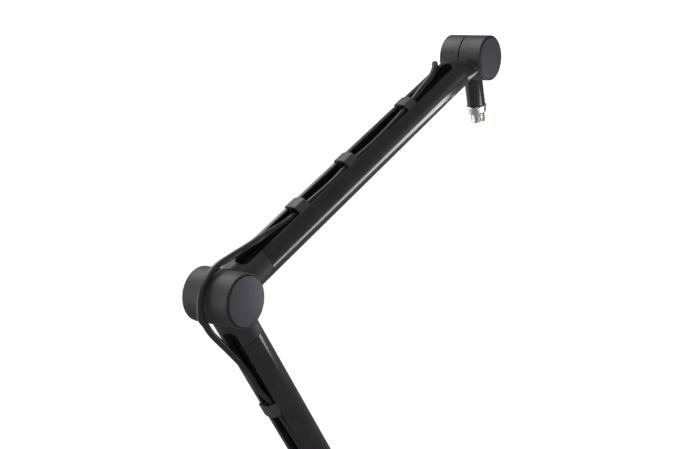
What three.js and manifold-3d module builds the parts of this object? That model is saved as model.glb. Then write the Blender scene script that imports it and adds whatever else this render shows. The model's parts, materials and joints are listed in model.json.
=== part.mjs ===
// Desk-clamped boom microphone stand: C clamp, swivel base, two channelled tube arms with round hinge
// drums, a threaded microphone stem, and the microphone cable that runs in the arms' channels.
// Millimetres, +Z up. The origin is on the swivel post's axis at the desk face under the upper jaw.
// +X is the way the upper arm reaches, and Y runs along the hinge axes.
import * as THREE from 'three';
import { mergeVertices } from 'three/addons/utils/BufferGeometryUtils.js';
import Module from 'manifold-3d';

const wasm = await Module();
wasm.setup();

// Pose at rest, degrees from +X towards +Z.
const LOWER_ANGLE = 124.8;
const UPPER_ANGLE = 25.05;
const STEM_ANGLE = -75.7;

// Arms
const ARM_LENGTH = 444;
const TUBE_R = 17.7;
const TUBE_WALL = 1.6;
const CHANNEL_TURN = 15.5;
const CHANNEL_HALF = 6.3;
const CHANNEL_FLOOR = 4.5;
const SLOT_START = 27;
const LOWER_SLEEVE = 46;
const UPPER_SLEEVE = 52;
const SPIGOT = 20;
const HEAD_FILL = 47;
const NECK_START = 42;
const NECK_HALF_WIDTH = 24.3;
const NECK_HALF_HEIGHT = 12;
const CLIP_STATIONS_UPPER = [120, 201, 311];
const CLIP_STATIONS_LOWER = [124, 214, 314.5];
const CLIP_LENGTH = 15.5;
const CLIP_EDGE_LOW = 14.4;
const CLIP_EDGE_HIGH = 15.8;

// Hinge drums: the near half ends at -Y and carries the spool, the far half ends at +Y and is hollow.
const DRUM_R = 24;
const DRUM_CLEAR_R = 24.6;
const ELBOW = { near: -28.5, seam: -1.4, far: 22.5 };
const HEAD = { near: -24.5, seam: 1.2, far: 24.5 };
const SEAM_HALF = 0.5;
const BOLT_R = 4;
const CAP_R = 21.7;
const CAP_RECESS = 3.4;
const CAP_RIM = 4.6;
const CAP_DOME = 1.2;
const WASHER_THICK = 0.8;
const SPOOL_Y = 6.4;
const SPOOL_GROOVE_R = 7;
const WIRE_R = 1;
const FOLD_HALF_ANGLE = 37.6;

// Springs inside the tubes
const SPRING_R = 6.4;
const SPRING_WIRE = 1.1;
const SPRING_DROP = -6.6;
const SPRING_START = 84;
const SPRING_END = 350;
const SPRING_TURNS = 10;

// Microphone stem and thread adapter, along the stem from the head hinge
const STEM_R = 9.95;
const STEM_ROOT_R = 19.4;
const STEM_ROOT = 11;
const STEM_FROM = 10;
const STEM_END = 53;
const COLLAR_R = 11.1;
const COLLAR_END = 62;
const NOSE_R = 7.94;
const NOSE_END = 72;
const STEM_LOWER_LIMIT = -5;
const STEM_UPPER_LIMIT = 110;

// Clamp and swivel base
const BASE_HEIGHT = 86;
const JAW_WIDTH = 40;
const JAW_TIP = -62;
const SPINE_INNER = 20;
const SPINE_OUTER = 34;
const JAW_BOTTOM = 3;
const JAW_TOP = 15;
const LOW_JAW_TOP = -66;
const LOW_JAW_BOTTOM = -78;
const SOCKET_TOP = 45;
const SOCKET_R = 17;
const POST_R = 7;
const POST_BOTTOM = 9;
const SCREW_X = -28;
const SCREW_R = 6;
const SCREW_BOTTOM = -122;
const PAD_TOP = -37;
const LOCK_Z = 30;

// Microphone cable. Routes are lists of points: channel routes as (along, across, out) of an arm's
// channel, and free routes as (x, y, z) from a hinge or from the stand's own origin.
const CABLE_R = 3;
const GAP = 0.3;
const CHANNEL_ROUTE_LOWER = [
  [331.5, 0.8, 14.8], [326, 0.3, 14], [300, -1.2, 12.6], [270, -2.6, 12.2], [240, -2.4, 12.2],
  [222, -1.4, 12.5], [206, -0.8, 12.6], [190, 0.4, 12.4], [160, 2.2, 12.2], [140, 1.4, 12.4],
  [124, 0.6, 13], [105, 0.2, 13.6], [84, 0, 15],
];
const CHANNEL_ROUTE_UPPER = [
  [101, 0.3, 12.4], [114, 0.1, 11.6], [126, -0.4, 11.8], [145, -1.8, 12.4], [170, -2.6, 12.4],
  [193, -1.4, 12.5], [209, -1.4, 12.6], [235, -2.6, 12.4], [265, -2, 12.2], [290, -0.8, 12.6],
  [313, 0.4, 13.6], [326, 1, 15.2], [341, 1.8, 17.4],
];
const TAIL_ROUTE = [
  [-86.6, -3.3, -18.8], [-75, -0.5, -12.2], [-64.1, 4.4, -6.9], [-58.3, 8.1, -5.1], [-51.7, 13, -5.1],
  [-44.7, 17.3, -7], [-36.7, 21.8, -11.2], [-29, 25.2, -14.7], [-23, 28.3, -15.2], [-15.3, 30.8, -14.6],
  [-5.5, 31.8, -11.9], [6, 32.2, -6], [18, 32.4, 1], [29, 32.7, 6], [42.4, 33, 7], [47.9, 33, 5.8],
  [52.4, 33, 2.4], [55, 33, -2.8], [56.2, 33, -7.5],
];
const ELBOW_ROUTE_START = [
  [331.8, 0.8, 14.8], [344.8, 2, 16.5], [360.3, 2, 17], [371.9, 2, 18.4], [381, 2, 19.4], [391.6, 2, 21.8],
];
const ELBOW_ROUTE = [
  [6.1, -2.8, -48.8], [-1.6, -2.8, -41.7], [-15.8, -2.8, -28.1], [-22.5, -2.8, -19.4], [-27.6, -2.8, -13],
  [-28.3, -2.8, -6.2], [-28.3, -2.8, 0.7], [-26.4, -2.8, 8.7], [-22.8, -2.8, 15.9], [-15.6, -2.8, 23.3],
  [-5.6, -2.8, 28.6], [8.1, -2.8, 32.6], [23.3, -2.8, 36.6],
];
const ELBOW_ROUTE_END = [[53.5, 1, 22.1], [73.7, 1, 17.7], [90, 0.8, 13.9], [100.7, 0.3, 12.4]];
const BASE_ROUTE_START = [[83.7, 0, 15], [68, 0, 17.4], [54, 0, 21]];
const BASE_ROUTE = [
  [-42, -4, 108], [-38.5, -3.6, 92], [-31.5, -3.3, 76], [-25.2, -3.1, 63], [-23.5, -3, 55], [-23.5, -3, 47],
  [-27, -3, 38], [-36, -3.2, 28], [-48, -4, 22], [-61, -7, 18.6], [-73, -14, 13.6], [-85, -23.6, 7.6],
  [-97, -34, 4.8], [-105, -39.8, 4.5], [-112, -43.6, 4.5],
];
const LEAD_ROUTE = [
  [-170, 24.6, 15.6], [-170.6, 34, 12.4], [-174, 44.6, 8], [-182, 52.6, 4.6], [-193, 55, 5],
  [-201.6, 50.6, 8], [-205, 41.6, 9.6], [-205, 33, 9.6],
];
const COIL_MIDDLE_R = 34;
const COIL_HALF_WIDTH = 9.3;
const COIL_BOTTOM = 1.5;
const COIL_TOP = 19.9;
const COIL_X = -130;

// Connectors on the cable's ends
const SHELL_R = 9.3;
const SHELL_LENGTH = 42;
const BOOT_LENGTH = 14;

const DEG = Math.PI / 180;
const baseHinge = new THREE.Vector3(0, 0, BASE_HEIGHT);
const elbowHinge = along(baseHinge, LOWER_ANGLE, ARM_LENGTH);
const headHinge = along(elbowHinge, UPPER_ANGLE, ARM_LENGTH);

const finishes = {
  black_metal: [0x1b1b1d, 0.42, 0.6],
  black_cast: [0x232325, 0.62, 0.2],
  cap: [0x2a2a30, 0.38, 0.3],
  clip: [0x1d1d1f, 0.6, 0],
  rubber: [0x151515, 0.9, 0],
  steel: [0x9a9a9c, 0.35, 0.9],
  nickel: [0xd8d8da, 0.18, 1],
  nylon: [0x8f8f90, 0.55, 0],
  cable: [0x101011, 0.5, 0],
};
const materials = {};
for (const [name, [color, roughness, metalness]] of Object.entries(finishes)) {
  materials[name] = new THREE.MeshStandardMaterial({ color, roughness, metalness });
}

function along(point, angle, distance) {
  const offset = new THREE.Vector3(Math.cos(angle * DEG), 0, Math.sin(angle * DEG));
  return offset.multiplyScalar(distance).add(point);
}

// --- solids and booleans -------------------------------------------------------------------------

function solid(geometry) {
  const bare = geometry.clone();
  bare.deleteAttribute('normal');
  bare.deleteAttribute('uv');
  const welded = mergeVertices(bare, 1e-4);
  return new wasm.Manifold(new wasm.Mesh({
    numProp: 3,
    vertProperties: new Float32Array(welded.attributes.position.array),
    triVerts: new Uint32Array(welded.index.array),
  }));
}

function geometryOf(body) {
  const mesh = body.getMesh();
  const geometry = new THREE.BufferGeometry();
  geometry.setAttribute('position', new THREE.BufferAttribute(new Float32Array(mesh.vertProperties), 3));
  geometry.setIndex(new THREE.BufferAttribute(new Uint32Array(mesh.triVerts), 1));
  return geometry;
}

function addMesh(group, name, shape, finish) {
  const geometry = shape.isBufferGeometry ? shape : geometryOf(shape);
  const mesh = new THREE.Mesh(geometry, materials[finish]);
  mesh.name = name;
  group.add(mesh);
  return mesh;
}

// A cylinder on the Y axis, from y0 to y1.
function discY(radius, y0, y1, segments = 28) {
  const geometry = new THREE.CylinderGeometry(radius, radius, y1 - y0, segments);
  return geometry.translate(0, (y0 + y1) / 2, 0);
}

// A cylinder between two points.
function bar(radius, from, to, segments = 16) {
  const start = new THREE.Vector3(...from);
  const end = new THREE.Vector3(...to);
  const length = start.distanceTo(end);
  const geometry = new THREE.CylinderGeometry(radius, radius, length, segments);
  const turn = new THREE.Quaternion().setFromUnitVectors(
    new THREE.Vector3(0, 1, 0), end.clone().sub(start).normalize());
  geometry.applyQuaternion(turn);
  return geometry.translate((from[0] + to[0]) / 2, (from[1] + to[1]) / 2, (from[2] + to[2]) / 2);
}

function block(x0, x1, y0, y1, z0, z1) {
  const geometry = new THREE.BoxGeometry(x1 - x0, y1 - y0, z1 - z0);
  return geometry.translate((x0 + x1) / 2, (y0 + y1) / 2, (z0 + z1) / 2);
}

// A closed outline of [radius, y] points turned about the Y axis.
function turned(outline, segments = 24) {
  const points = outline.map(([radius, y]) => new THREE.Vector2(radius, y));
  if (outline[0][0] > 0) points.push(points[0].clone());
  return new THREE.LatheGeometry(points, segments);
}

// The same outline turned about the Z axis.
function turnedZ(outline, segments = 24) {
  return turned(outline, segments).rotateX(Math.PI / 2);
}

// A shape drawn in (y, z), pushed along +X from x0 to x1.
function prismX(shape, x0, x1, curveSegments = 12) {
  const geometry = new THREE.ExtrudeGeometry(shape, { depth: x1 - x0, bevelEnabled: false, curveSegments });
  const axes = new THREE.Matrix4().makeBasis(
    new THREE.Vector3(0, 1, 0), new THREE.Vector3(0, 0, 1), new THREE.Vector3(1, 0, 0));
  return geometry.applyMatrix4(axes).translate(x0, 0, 0);
}

// A shape drawn in (x, z), pushed along Y from y0 to y1.
function prismY(shape, y0, y1, curveSegments = 12) {
  const geometry = new THREE.ExtrudeGeometry(shape, { depth: y1 - y0, bevelEnabled: false, curveSegments });
  return geometry.rotateX(Math.PI / 2).translate(0, y1, 0);
}

// A ring sector about the Y axis, between two radii and two angles from +X towards +Z.
function sector(inner, outer, fromAngle, toAngle, y0, y1) {
  const shape = new THREE.Shape();
  shape.absarc(0, 0, outer, fromAngle * DEG, toAngle * DEG, false);
  shape.absarc(0, 0, inner, toAngle * DEG, fromAngle * DEG, true);
  shape.closePath();
  return prismY(shape, y0, y1, 16);
}

function rollChannel(geometry) {
  return geometry.rotateX(CHANNEL_TURN * DEG);
}

// --- hinge drums ---------------------------------------------------------------------------------

// The outline of a near half: bolt-head pocket, cap recess, rim, seam face and the spool or spigot.
function nearHalfOutline(drum, spigot) {
  const face = drum.seam - SEAM_HALF;
  const bore = BOLT_R + 0.15;
  return [
    [bore, drum.near + 12], [9, drum.near + 12], [9, drum.near + CAP_RECESS],
    [CAP_R + 0.4, drum.near + CAP_RECESS], [CAP_R + 0.4, drum.near], [DRUM_R - 0.8, drum.near],
    [DRUM_R, drum.near + 0.8], [DRUM_R, face - 0.4], [DRUM_R - 0.4, face], ...spigot,
  ];
}

function spoolOutline(drum) {
  const face = drum.seam - SEAM_HALF;
  const groove = drum.seam + SPOOL_Y;
  return [
    [10, face], [10, groove - 1.7], [SPOOL_GROOVE_R, groove - 1.3], [SPOOL_GROOVE_R, groove + 1.3],
    [10, groove + 1.7], [10, groove + 3.6], [BOLT_R + 0.15, groove + 3.6],
  ];
}

function stemRootOutline(drum) {
  const face = drum.seam - SEAM_HALF;
  return [[STEM_ROOT_R, face], [STEM_ROOT_R, face + STEM_ROOT], [BOLT_R + 0.15, face + STEM_ROOT]];
}

// The outline of a far half: rim, hollow for the spool, web, nut pocket and cap recess.
function farHalfOutline(drum) {
  const face = drum.seam + SEAM_HALF;
  const bore = BOLT_R + 0.15;
  return [
    [bore, drum.seam + 11.4], [20, drum.seam + 11.4], [20, face], [DRUM_R - 0.4, face], [DRUM_R, face + 0.4],
    [DRUM_R, drum.far - 0.8], [DRUM_R - 0.8, drum.far], [CAP_R + 0.4, drum.far],
    [CAP_R + 0.4, drum.far - CAP_RECESS], [9, drum.far - CAP_RECESS], [9, drum.far - 8], [bore, drum.far - 8],
  ];
}

// Axle bolt, lock nut, friction washer and the two domed caps of one hinge.
function addHingeHardware(nearGroup, farGroup, prefix, drum) {
  const head = drum.near + 12;
  const nut = drum.far - 8;
  const bolt = [
    [0, head - 6], [6.4, head - 6], [7, head - 5.4], [7, head],
    [BOLT_R, head], [BOLT_R, nut + 4.3], [0, nut + 4.3],
  ];
  addMesh(nearGroup, `${prefix}_axle_bolt`, turned(bolt, 14), 'steel');
  const nutBore = solid(discY(BOLT_R + 0.25, nut - 1, nut + 5, 12));
  const nutBody = solid(discY(7.4, nut, nut + 4, 6)).subtract(nutBore);
  addMesh(nearGroup, `${prefix}_axle_nut`, nutBody, 'steel');
  const overRoot = prefix === 'head';
  const washerFrom = drum.seam - SEAM_HALF + (overRoot ? STEM_ROOT : 0);
  const [washerInner, washerOuter] = overRoot ? [BOLT_R + 1, STEM_ROOT_R - 1] : [11, DRUM_R - 0.7];
  const washer = [
    [washerInner, washerFrom], [washerOuter, washerFrom], [washerOuter, washerFrom + WASHER_THICK],
    [washerInner, washerFrom + WASHER_THICK],
  ];
  addMesh(nearGroup, `${prefix}_friction_washer`, turned(washer), 'nylon');
  addMesh(nearGroup, `${prefix}_cap_near`, capGeometry(drum.near + CAP_RECESS, -1), 'cap');
  addMesh(farGroup, `${prefix}_cap_far`, capGeometry(drum.far - CAP_RECESS, 1), 'cap');
}

// A shallow domed cap that stands in the end recess; side is -1 at the near end and 1 at the far end.
function capGeometry(seat, side) {
  const outline = [[0, 0], [CAP_R, 0], [CAP_R, CAP_RIM - 0.6]];
  for (let step = 0; step <= 3; step += 1) {
    const share = step / 3;
    outline.push([(CAP_R - 0.6) * (1 - share), CAP_RIM + CAP_DOME * (1 - (1 - share) ** 2)]);
  }
  const flipped = outline.map(([radius, y]) => [radius, seat + side * y]);
  return turned(side > 0 ? flipped : flipped.reverse());
}

// --- arms ----------------------------------------------------------------------------------------

// The tube's section in (across, out): a round wall, the open channel and the closed lower cavity.
function tubeSection() {
  const lipAngle = Math.asin(CHANNEL_HALF / TUBE_R);
  const wallOut = CHANNEL_HALF + TUBE_WALL;
  const innerR = TUBE_R - TUBE_WALL;
  const innerAngle = Math.acos(wallOut / innerR);
  const cavityTop = CHANNEL_FLOOR - TUBE_WALL;
  const section = new THREE.Shape();
  section.moveTo(CHANNEL_HALF, CHANNEL_FLOOR);
  section.lineTo(-CHANNEL_HALF, CHANNEL_FLOOR);
  section.absarc(0, 0, TUBE_R, Math.PI / 2 + lipAngle, Math.PI / 2 - lipAngle + 2 * Math.PI, false);
  section.closePath();
  const cavity = new THREE.Path();
  cavity.moveTo(-wallOut, cavityTop);
  cavity.lineTo(wallOut, cavityTop);
  cavity.absarc(0, 0, innerR, innerAngle, Math.PI - innerAngle - 2 * Math.PI, true);
  cavity.closePath();
  section.holes.push(cavity);
  return section;
}

function armTube(from, to) {
  return rollChannel(prismX(tubeSection(), from, to, 28));
}

// The slot that continues the channel into a fitting; it ends in a half circle.
function channelSlot(from, to) {
  const reach = Math.sign(to - from);
  const shape = new THREE.Shape();
  shape.moveTo(to, CHANNEL_HALF);
  shape.lineTo(from + reach * CHANNEL_HALF, CHANNEL_HALF);
  for (let step = 1; step < 8; step += 1) {
    const angle = (90 + step * 22.5) * DEG;
    shape.lineTo(from + reach * CHANNEL_HALF * (1 + Math.cos(angle)), CHANNEL_HALF * Math.sin(angle));
  }
  shape.lineTo(from + reach * CHANNEL_HALF, -CHANNEL_HALF);
  shape.lineTo(to, -CHANNEL_HALF);
  shape.closePath();
  const depth = TUBE_R + 6 - CHANNEL_FLOOR;
  const geometry = new THREE.ExtrudeGeometry(shape, { depth, bevelEnabled: false });
  return rollChannel(geometry.translate(0, 0, CHANNEL_FLOOR));
}

// The part of a fitting that plugs into the tube's lower cavity.
function spigotBody(from, to) {
  const low = Math.min(from, to);
  const high = Math.max(from, to);
  const core = solid(bar(TUBE_R - TUBE_WALL - 0.4, [low, 0, 0], [high, 0, 0], 20));
  const half = CHANNEL_HALF + TUBE_WALL + 0.4;
  const lid = CHANNEL_FLOOR - TUBE_WALL - 0.4;
  return core.subtract(solid(rollChannel(block(low - 1, high + 1, -half, half, lid, TUBE_R + 5))));
}

// A sleeve that carries on the tube's outside from the hinge to the seam, cleared round the drum.
function sleeveBody(seam, drum, ownSide) {
  const reach = Math.sign(seam);
  let sleeve = solid(bar(TUBE_R, [0, 0, 0], [seam, 0, 0], 36));
  sleeve = sleeve.subtract(solid(discY(DRUM_R - 0.5, -40, 40)));
  const clear = ownSide > 0 ? [-40, drum.seam + SEAM_HALF] : [drum.seam - SEAM_HALF, 40];
  sleeve = sleeve.subtract(solid(discY(DRUM_CLEAR_R, ...clear)));
  const fold = reach > 0
    ? sector(1, 60, -120, -FOLD_HALF_ANGLE, -40, 40)
    : sector(1, 60, 180 + FOLD_HALF_ANGLE, 300, -40, 40);
  return sleeve.subtract(solid(fold));
}

function springLine() {
  const turn = CHANNEL_TURN * DEG;
  return [-SPRING_DROP * Math.sin(turn), SPRING_DROP * Math.cos(turn)];
}

// The fitting at an arm's lower end, with the hollow far half of the drum and the wire's passage.
function bottomFitting(seam) {
  const [springY, springZ] = springLine();
  const wireHole = bar(2, spoolPoint(-6), [SPRING_START, springY, springZ], 16);
  return sleeveBody(seam, ELBOW, 1)
    .add(spigotBody(seam - 1, seam + SPIGOT))
    .subtract(solid(channelSlot(SLOT_START, seam + 1)))
    .add(solid(turned(farHalfOutline(ELBOW), 28)))
    .subtract(solid(wireHole));
}

// The lower arm's upper fitting, with the near half of the elbow drum.
function elbowFitting() {
  const seam = -LOWER_SLEEVE;
  return sleeveBody(seam, ELBOW, -1)
    .add(spigotBody(seam + 1, seam - SPIGOT))
    .subtract(solid(channelSlot(-SLOT_START, seam - 1)))
    .add(solid(turned(nearHalfOutline(ELBOW, spoolOutline(ELBOW)), 28)))
    .subtract(solid(anchorHole()));
}

function anchorHole() {
  const [springY, springZ] = springLine();
  return bar(3.1, [-ARM_LENGTH + SPRING_END, springY, springZ], [-LOWER_SLEEVE - 4, springY, springZ], 20);
}

// The neck at the upper arm's end: the tube's round outline turns into a flat, wide oval at the drum.
function headNeck() {
  const corners = 36;
  const stations = [NECK_START, 38, 34, 30, 26, 22, 8];
  const positions = [];
  const faces = [];
  stations.forEach((station, ring) => {
    const share = Math.min(1, (NECK_START - station) / (NECK_START - DRUM_R));
    const blend = share * share * (3 - 2 * share);
    for (let corner = 0; corner < corners; corner += 1) {
      const angle = corner * 2 * Math.PI / corners;
      const y = (TUBE_R + (NECK_HALF_WIDTH - TUBE_R) * blend) * Math.cos(angle);
      const z = (TUBE_R + (NECK_HALF_HEIGHT - TUBE_R) * blend) * Math.sin(angle);
      positions.push(-station, y, z);
      const next = (corner + 1) % corners;
      const here = ring * corners;
      if (ring > 0) {
        faces.push(here - corners + corner, here - corners + next, here + next);
        faces.push(here - corners + corner, here + next, here + corner);
      }
    }
  });
  const last = (stations.length - 1) * corners;
  for (let corner = 1; corner < corners - 1; corner += 1) {
    faces.push(0, corner + 1, corner);
    faces.push(last, last + corner, last + corner + 1);
  }
  const geometry = new THREE.BufferGeometry();
  geometry.setAttribute('position', new THREE.BufferAttribute(new Float32Array(positions), 3));
  geometry.setIndex(faces);
  return geometry;
}

// The upper arm's end: the plug inside the tube, the channel's closed end, the neck, and the far half
// of the drum.
function headFitting() {
  const near = DRUM_R - 0.5;
  const core = solid(bar(TUBE_R - TUBE_WALL - 0.4, [0, 0, 0], [-LOWER_SLEEVE - SPIGOT, 0, 0], 20));
  const half = CHANNEL_HALF + TUBE_WALL + 0.4;
  const lid = CHANNEL_FLOOR - TUBE_WALL - 0.4;
  const tunnel = solid(rollChannel(block(-90, 5, -half, half, lid, TUBE_R + 5)));
  const fillHalf = CHANNEL_HALF - GAP;
  const fill = solid(rollChannel(block(-HEAD_FILL, 0, -fillHalf, fillHalf, CHANNEL_FLOOR + GAP, TUBE_R)))
    .intersect(solid(bar(TUBE_R - 0.2, [-HEAD_FILL, 0, 0], [0, 0, 0], 40)))
    .subtract(solid(channelSlot(-HEAD_FILL + 1, -HEAD_FILL - 12).translate(-2 * CHANNEL_HALF + 5, 0, 0)));
  const swing = UPPER_ANGLE - STEM_ANGLE;
  const from = -swing + STEM_LOWER_LIMIT - 32;
  const to = -swing + STEM_UPPER_LIMIT + 32;
  const notch = sector(17, 30, from, to, HEAD.seam - 2, STEM_R + 1.2);
  return core.subtract(tunnel).add(fill).add(solid(headNeck()))
    .subtract(solid(discY(near, -40, 40)))
    .subtract(solid(discY(DRUM_CLEAR_R, -40, HEAD.seam + SEAM_HALF)))
    .add(solid(turned(farHalfOutline(HEAD), 28)))
    .subtract(solid(notch))
    .subtract(solid(anchorHole()));
}

// A coiled spring whose ends draw in to the axis; it runs along +X.
class SpringCurve extends THREE.Curve {
  getPoint(t, target = new THREE.Vector3()) {
    const edge = 0.05;
    const draw = Math.min(1, t / edge, (1 - t) / edge);
    const radius = SPRING_R * Math.sin(draw * Math.PI / 2);
    const angle = SPRING_TURNS * 2 * Math.PI * t;
    const x = SPRING_START + (SPRING_END - SPRING_START) * t;
    return target.set(x, radius * Math.cos(angle), radius * Math.sin(angle));
  }
}

function springBody() {
  const corners = [];
  for (let corner = 0; corner < 6; corner += 1) {
    const angle = corner * 60 * DEG;
    corners.push(new THREE.Vector2(SPRING_WIRE * Math.cos(angle), SPRING_WIRE * Math.sin(angle)));
  }
  const coil = new THREE.ExtrudeGeometry(new THREE.Shape(corners), {
    extrudePath: new SpringCurve(), steps: SPRING_TURNS * 6, bevelEnabled: false,
  });
  const [springY, springZ] = springLine();
  const tang = bar(WIRE_R, spoolPoint(1), [SPRING_START + 0.6, springY, springZ], 10);
  return solid(coil.translate(0, springY, springZ)).add(solid(tang));
}

// Where the spring's long end meets the spool's groove, at a distance along the arm.
function spoolPoint(distance) {
  return [distance, ELBOW.seam + SPOOL_Y, -SPOOL_GROOVE_R - WIRE_R - 0.1];
}

// A cable clip: a band over the channel with a tab past the far lip, and two legs inside the channel.
function clipGeometry(station) {
  const lip = Math.asin(CHANNEL_HALF / TUBE_R);
  const inner = TUBE_R + GAP;
  const outer = TUBE_R + 2.1;
  const legOuter = CHANNEL_HALF - GAP;
  const legInner = legOuter - 1.1;
  const from = Math.PI / 2 - lip - 0.3;
  const ridge = Math.PI / 2;
  const band = new THREE.Shape();
  band.absarc(0, 0, outer, from, ridge, false);
  band.lineTo(-legOuter, CLIP_EDGE_HIGH);
  band.lineTo(-legOuter, CLIP_EDGE_LOW);
  band.lineTo(0, inner);
  band.absarc(0, 0, inner, ridge, from, true);
  band.closePath();
  const first = station - CLIP_LENGTH / 2;
  const last = station + CLIP_LENGTH / 2;
  let clip = solid(prismX(band, first, last, 5));
  for (const side of [-1, 1]) {
    const low = Math.min(side * legInner, side * legOuter);
    const top = side < 0 ? (CLIP_EDGE_LOW + CLIP_EDGE_HIGH) / 2 : TUBE_R - 0.2;
    clip = clip.add(solid(block(first, last, low, low + 1.1, 9.5, top)));
  }
  return geometryOf(clip).rotateX(CHANNEL_TURN * DEG);
}

function addSpring(group, prefix) {
  const [springY, springZ] = springLine();
  addMesh(group, `${prefix}_spring`, springBody(), 'steel');
  const anchorEnd = ARM_LENGTH - LOWER_SLEEVE - 4.5;
  const anchor = bar(2.8, [SPRING_END + 1.6, springY, springZ], [anchorEnd, springY, springZ], 16);
  addMesh(group, `${prefix}_spring_anchor`, anchor, 'steel');
}

function addClips(group, prefix, stations) {
  stations.forEach((station, index) => {
    addMesh(group, `${prefix}_cable_clip_${index + 1}`, clipGeometry(station), 'clip');
  });
}

function armFrame(origin, angle) {
  const frame = new THREE.Group();
  frame.position.copy(origin);
  frame.rotation.y = -angle * DEG;
  return frame;
}

// --- microphone stem -----------------------------------------------------------------------------

function addStem(frame) {
  const socket = solid(bar(STEM_R + 0.3, [STEM_FROM - 0.4, 0, 0], [40, 0, 0], 20));
  const knuckle = solid(turned(nearHalfOutline(HEAD, stemRootOutline(HEAD)), 28)).subtract(socket);
  addMesh(frame, 'head_knuckle', knuckle, 'black_cast');
  const stem = solid(bar(STEM_R, [STEM_FROM, 0, 0], [STEM_END, 0, 0], 28))
    .subtract(solid(bar(7.8, [STEM_FROM + 8, 0, 0], [STEM_END + 1, 0, 0], 20)));
  addMesh(frame, 'mic_stem', stem, 'black_metal');
  const outline = [
    [0, STEM_END - 8], [7.5, STEM_END - 8], [7.5, STEM_END + GAP], [COLLAR_R - 0.7, STEM_END + GAP],
    [COLLAR_R, STEM_END + 1], [COLLAR_R, STEM_END + 2.6], [COLLAR_R - 0.5, STEM_END + 3.2],
    [COLLAR_R - 0.5, COLLAR_END - 1.8], [NOSE_R + 1, COLLAR_END], [NOSE_R, COLLAR_END],
    [NOSE_R, NOSE_END - 0.8], [NOSE_R - 0.8, NOSE_END], [4.75, NOSE_END],
    [4.75, NOSE_END - 3], [0, NOSE_END - 3],
  ];
  addMesh(frame, 'thread_adapter', turned(outline, 20).rotateZ(-Math.PI / 2), 'nickel');
}

// --- clamp and swivel base -----------------------------------------------------------------------

function clampFrame() {
  const corner = 9;
  const shape = new THREE.Shape();
  shape.moveTo(JAW_TIP, JAW_BOTTOM);
  shape.lineTo(SPINE_INNER - 4, JAW_BOTTOM);
  shape.absarc(SPINE_INNER - 4, JAW_BOTTOM - 4, 4, Math.PI / 2, 0, true);
  shape.lineTo(SPINE_INNER, LOW_JAW_TOP + 4);
  shape.absarc(SPINE_INNER - 4, LOW_JAW_TOP + 4, 4, 0, -Math.PI / 2, true);
  shape.lineTo(JAW_TIP + 12, LOW_JAW_TOP);
  shape.lineTo(JAW_TIP + 12, LOW_JAW_BOTTOM);
  shape.lineTo(SPINE_OUTER - corner, LOW_JAW_BOTTOM);
  shape.absarc(SPINE_OUTER - corner, LOW_JAW_BOTTOM + corner, corner, -Math.PI / 2, 0, false);
  shape.lineTo(SPINE_OUTER, JAW_TOP - corner);
  shape.absarc(SPINE_OUTER - corner, JAW_TOP - corner, corner, 0, Math.PI / 2, false);
  shape.lineTo(JAW_TIP + 4, JAW_TOP);
  shape.absarc(JAW_TIP + 4, JAW_TOP - 4, 4, Math.PI / 2, Math.PI, false);
  shape.closePath();
  const half = JAW_WIDTH / 2;
  const bossTop = SOCKET_TOP - 0.6;
  return solid(prismY(shape, -half, half, 6))
    .add(solid(bar(SOCKET_R, [0, 0, JAW_TOP - 1], [0, 0, bossTop], 32)))
    .add(solid(bar(13, [SCREW_X, 0, LOW_JAW_BOTTOM - 5], [SCREW_X, 0, LOW_JAW_TOP + 5], 24)))
    .subtract(solid(bar(POST_R + 2, [0, 0, POST_BOTTOM - 1.5], [0, 0, SOCKET_TOP + 1], 24)))
    .subtract(solid(bar(SCREW_R + 0.1, [SCREW_X, 0, -90], [SCREW_X, 0, -50], 24)))
    .subtract(solid(bar(3.1, [0, -30, LOCK_Z], [0, 0, LOCK_Z], 20)));
}

function addClamp(root) {
  const half = JAW_WIDTH / 2;
  addMesh(root, 'clamp_frame', clampFrame(), 'black_cast');
  const topPad = block(JAW_TIP + 3, SPINE_INNER - 6, -half + 2, half - 2, 0, JAW_BOTTOM);
  addMesh(root, 'clamp_top_pad', topPad, 'rubber');
  const bush = solid(bar(POST_R + 1.9, [0, 0, POST_BOTTOM - 1.4], [0, 0, SOCKET_TOP], 24))
    .add(solid(bar(POST_R + 6, [0, 0, SOCKET_TOP - 0.5], [0, 0, SOCKET_TOP + 1.4], 24)))
    .subtract(solid(bar(POST_R + 0.08, [0, 0, POST_BOTTOM], [0, 0, SOCKET_TOP + 2], 24)))
    .subtract(solid(bar(3.4, [0, -30, LOCK_Z], [0, 0, LOCK_Z], 20)));
  addMesh(root, 'socket_bush', bush, 'nylon');
}

// A knob with scalloped sides, on the Z axis from z0 to z1.
function lobedKnob(radius, lobes, z0, z1) {
  const steps = lobes * 5;
  const outline = [];
  for (let step = 0; step < steps; step += 1) {
    const angle = step / steps * 2 * Math.PI;
    const reach = radius * (0.93 + 0.07 * Math.cos(lobes * angle));
    outline.push(new THREE.Vector2(reach * Math.cos(angle), reach * Math.sin(angle)));
  }
  return new THREE.ExtrudeGeometry(new THREE.Shape(outline), {
    depth: z1 - z0 - 3, bevelEnabled: true, bevelThickness: 1.5,
    bevelSize: 1.5, bevelOffset: -1.5, bevelSegments: 1,
  }).translate(0, 0, z0 + 1.5);
}

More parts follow.
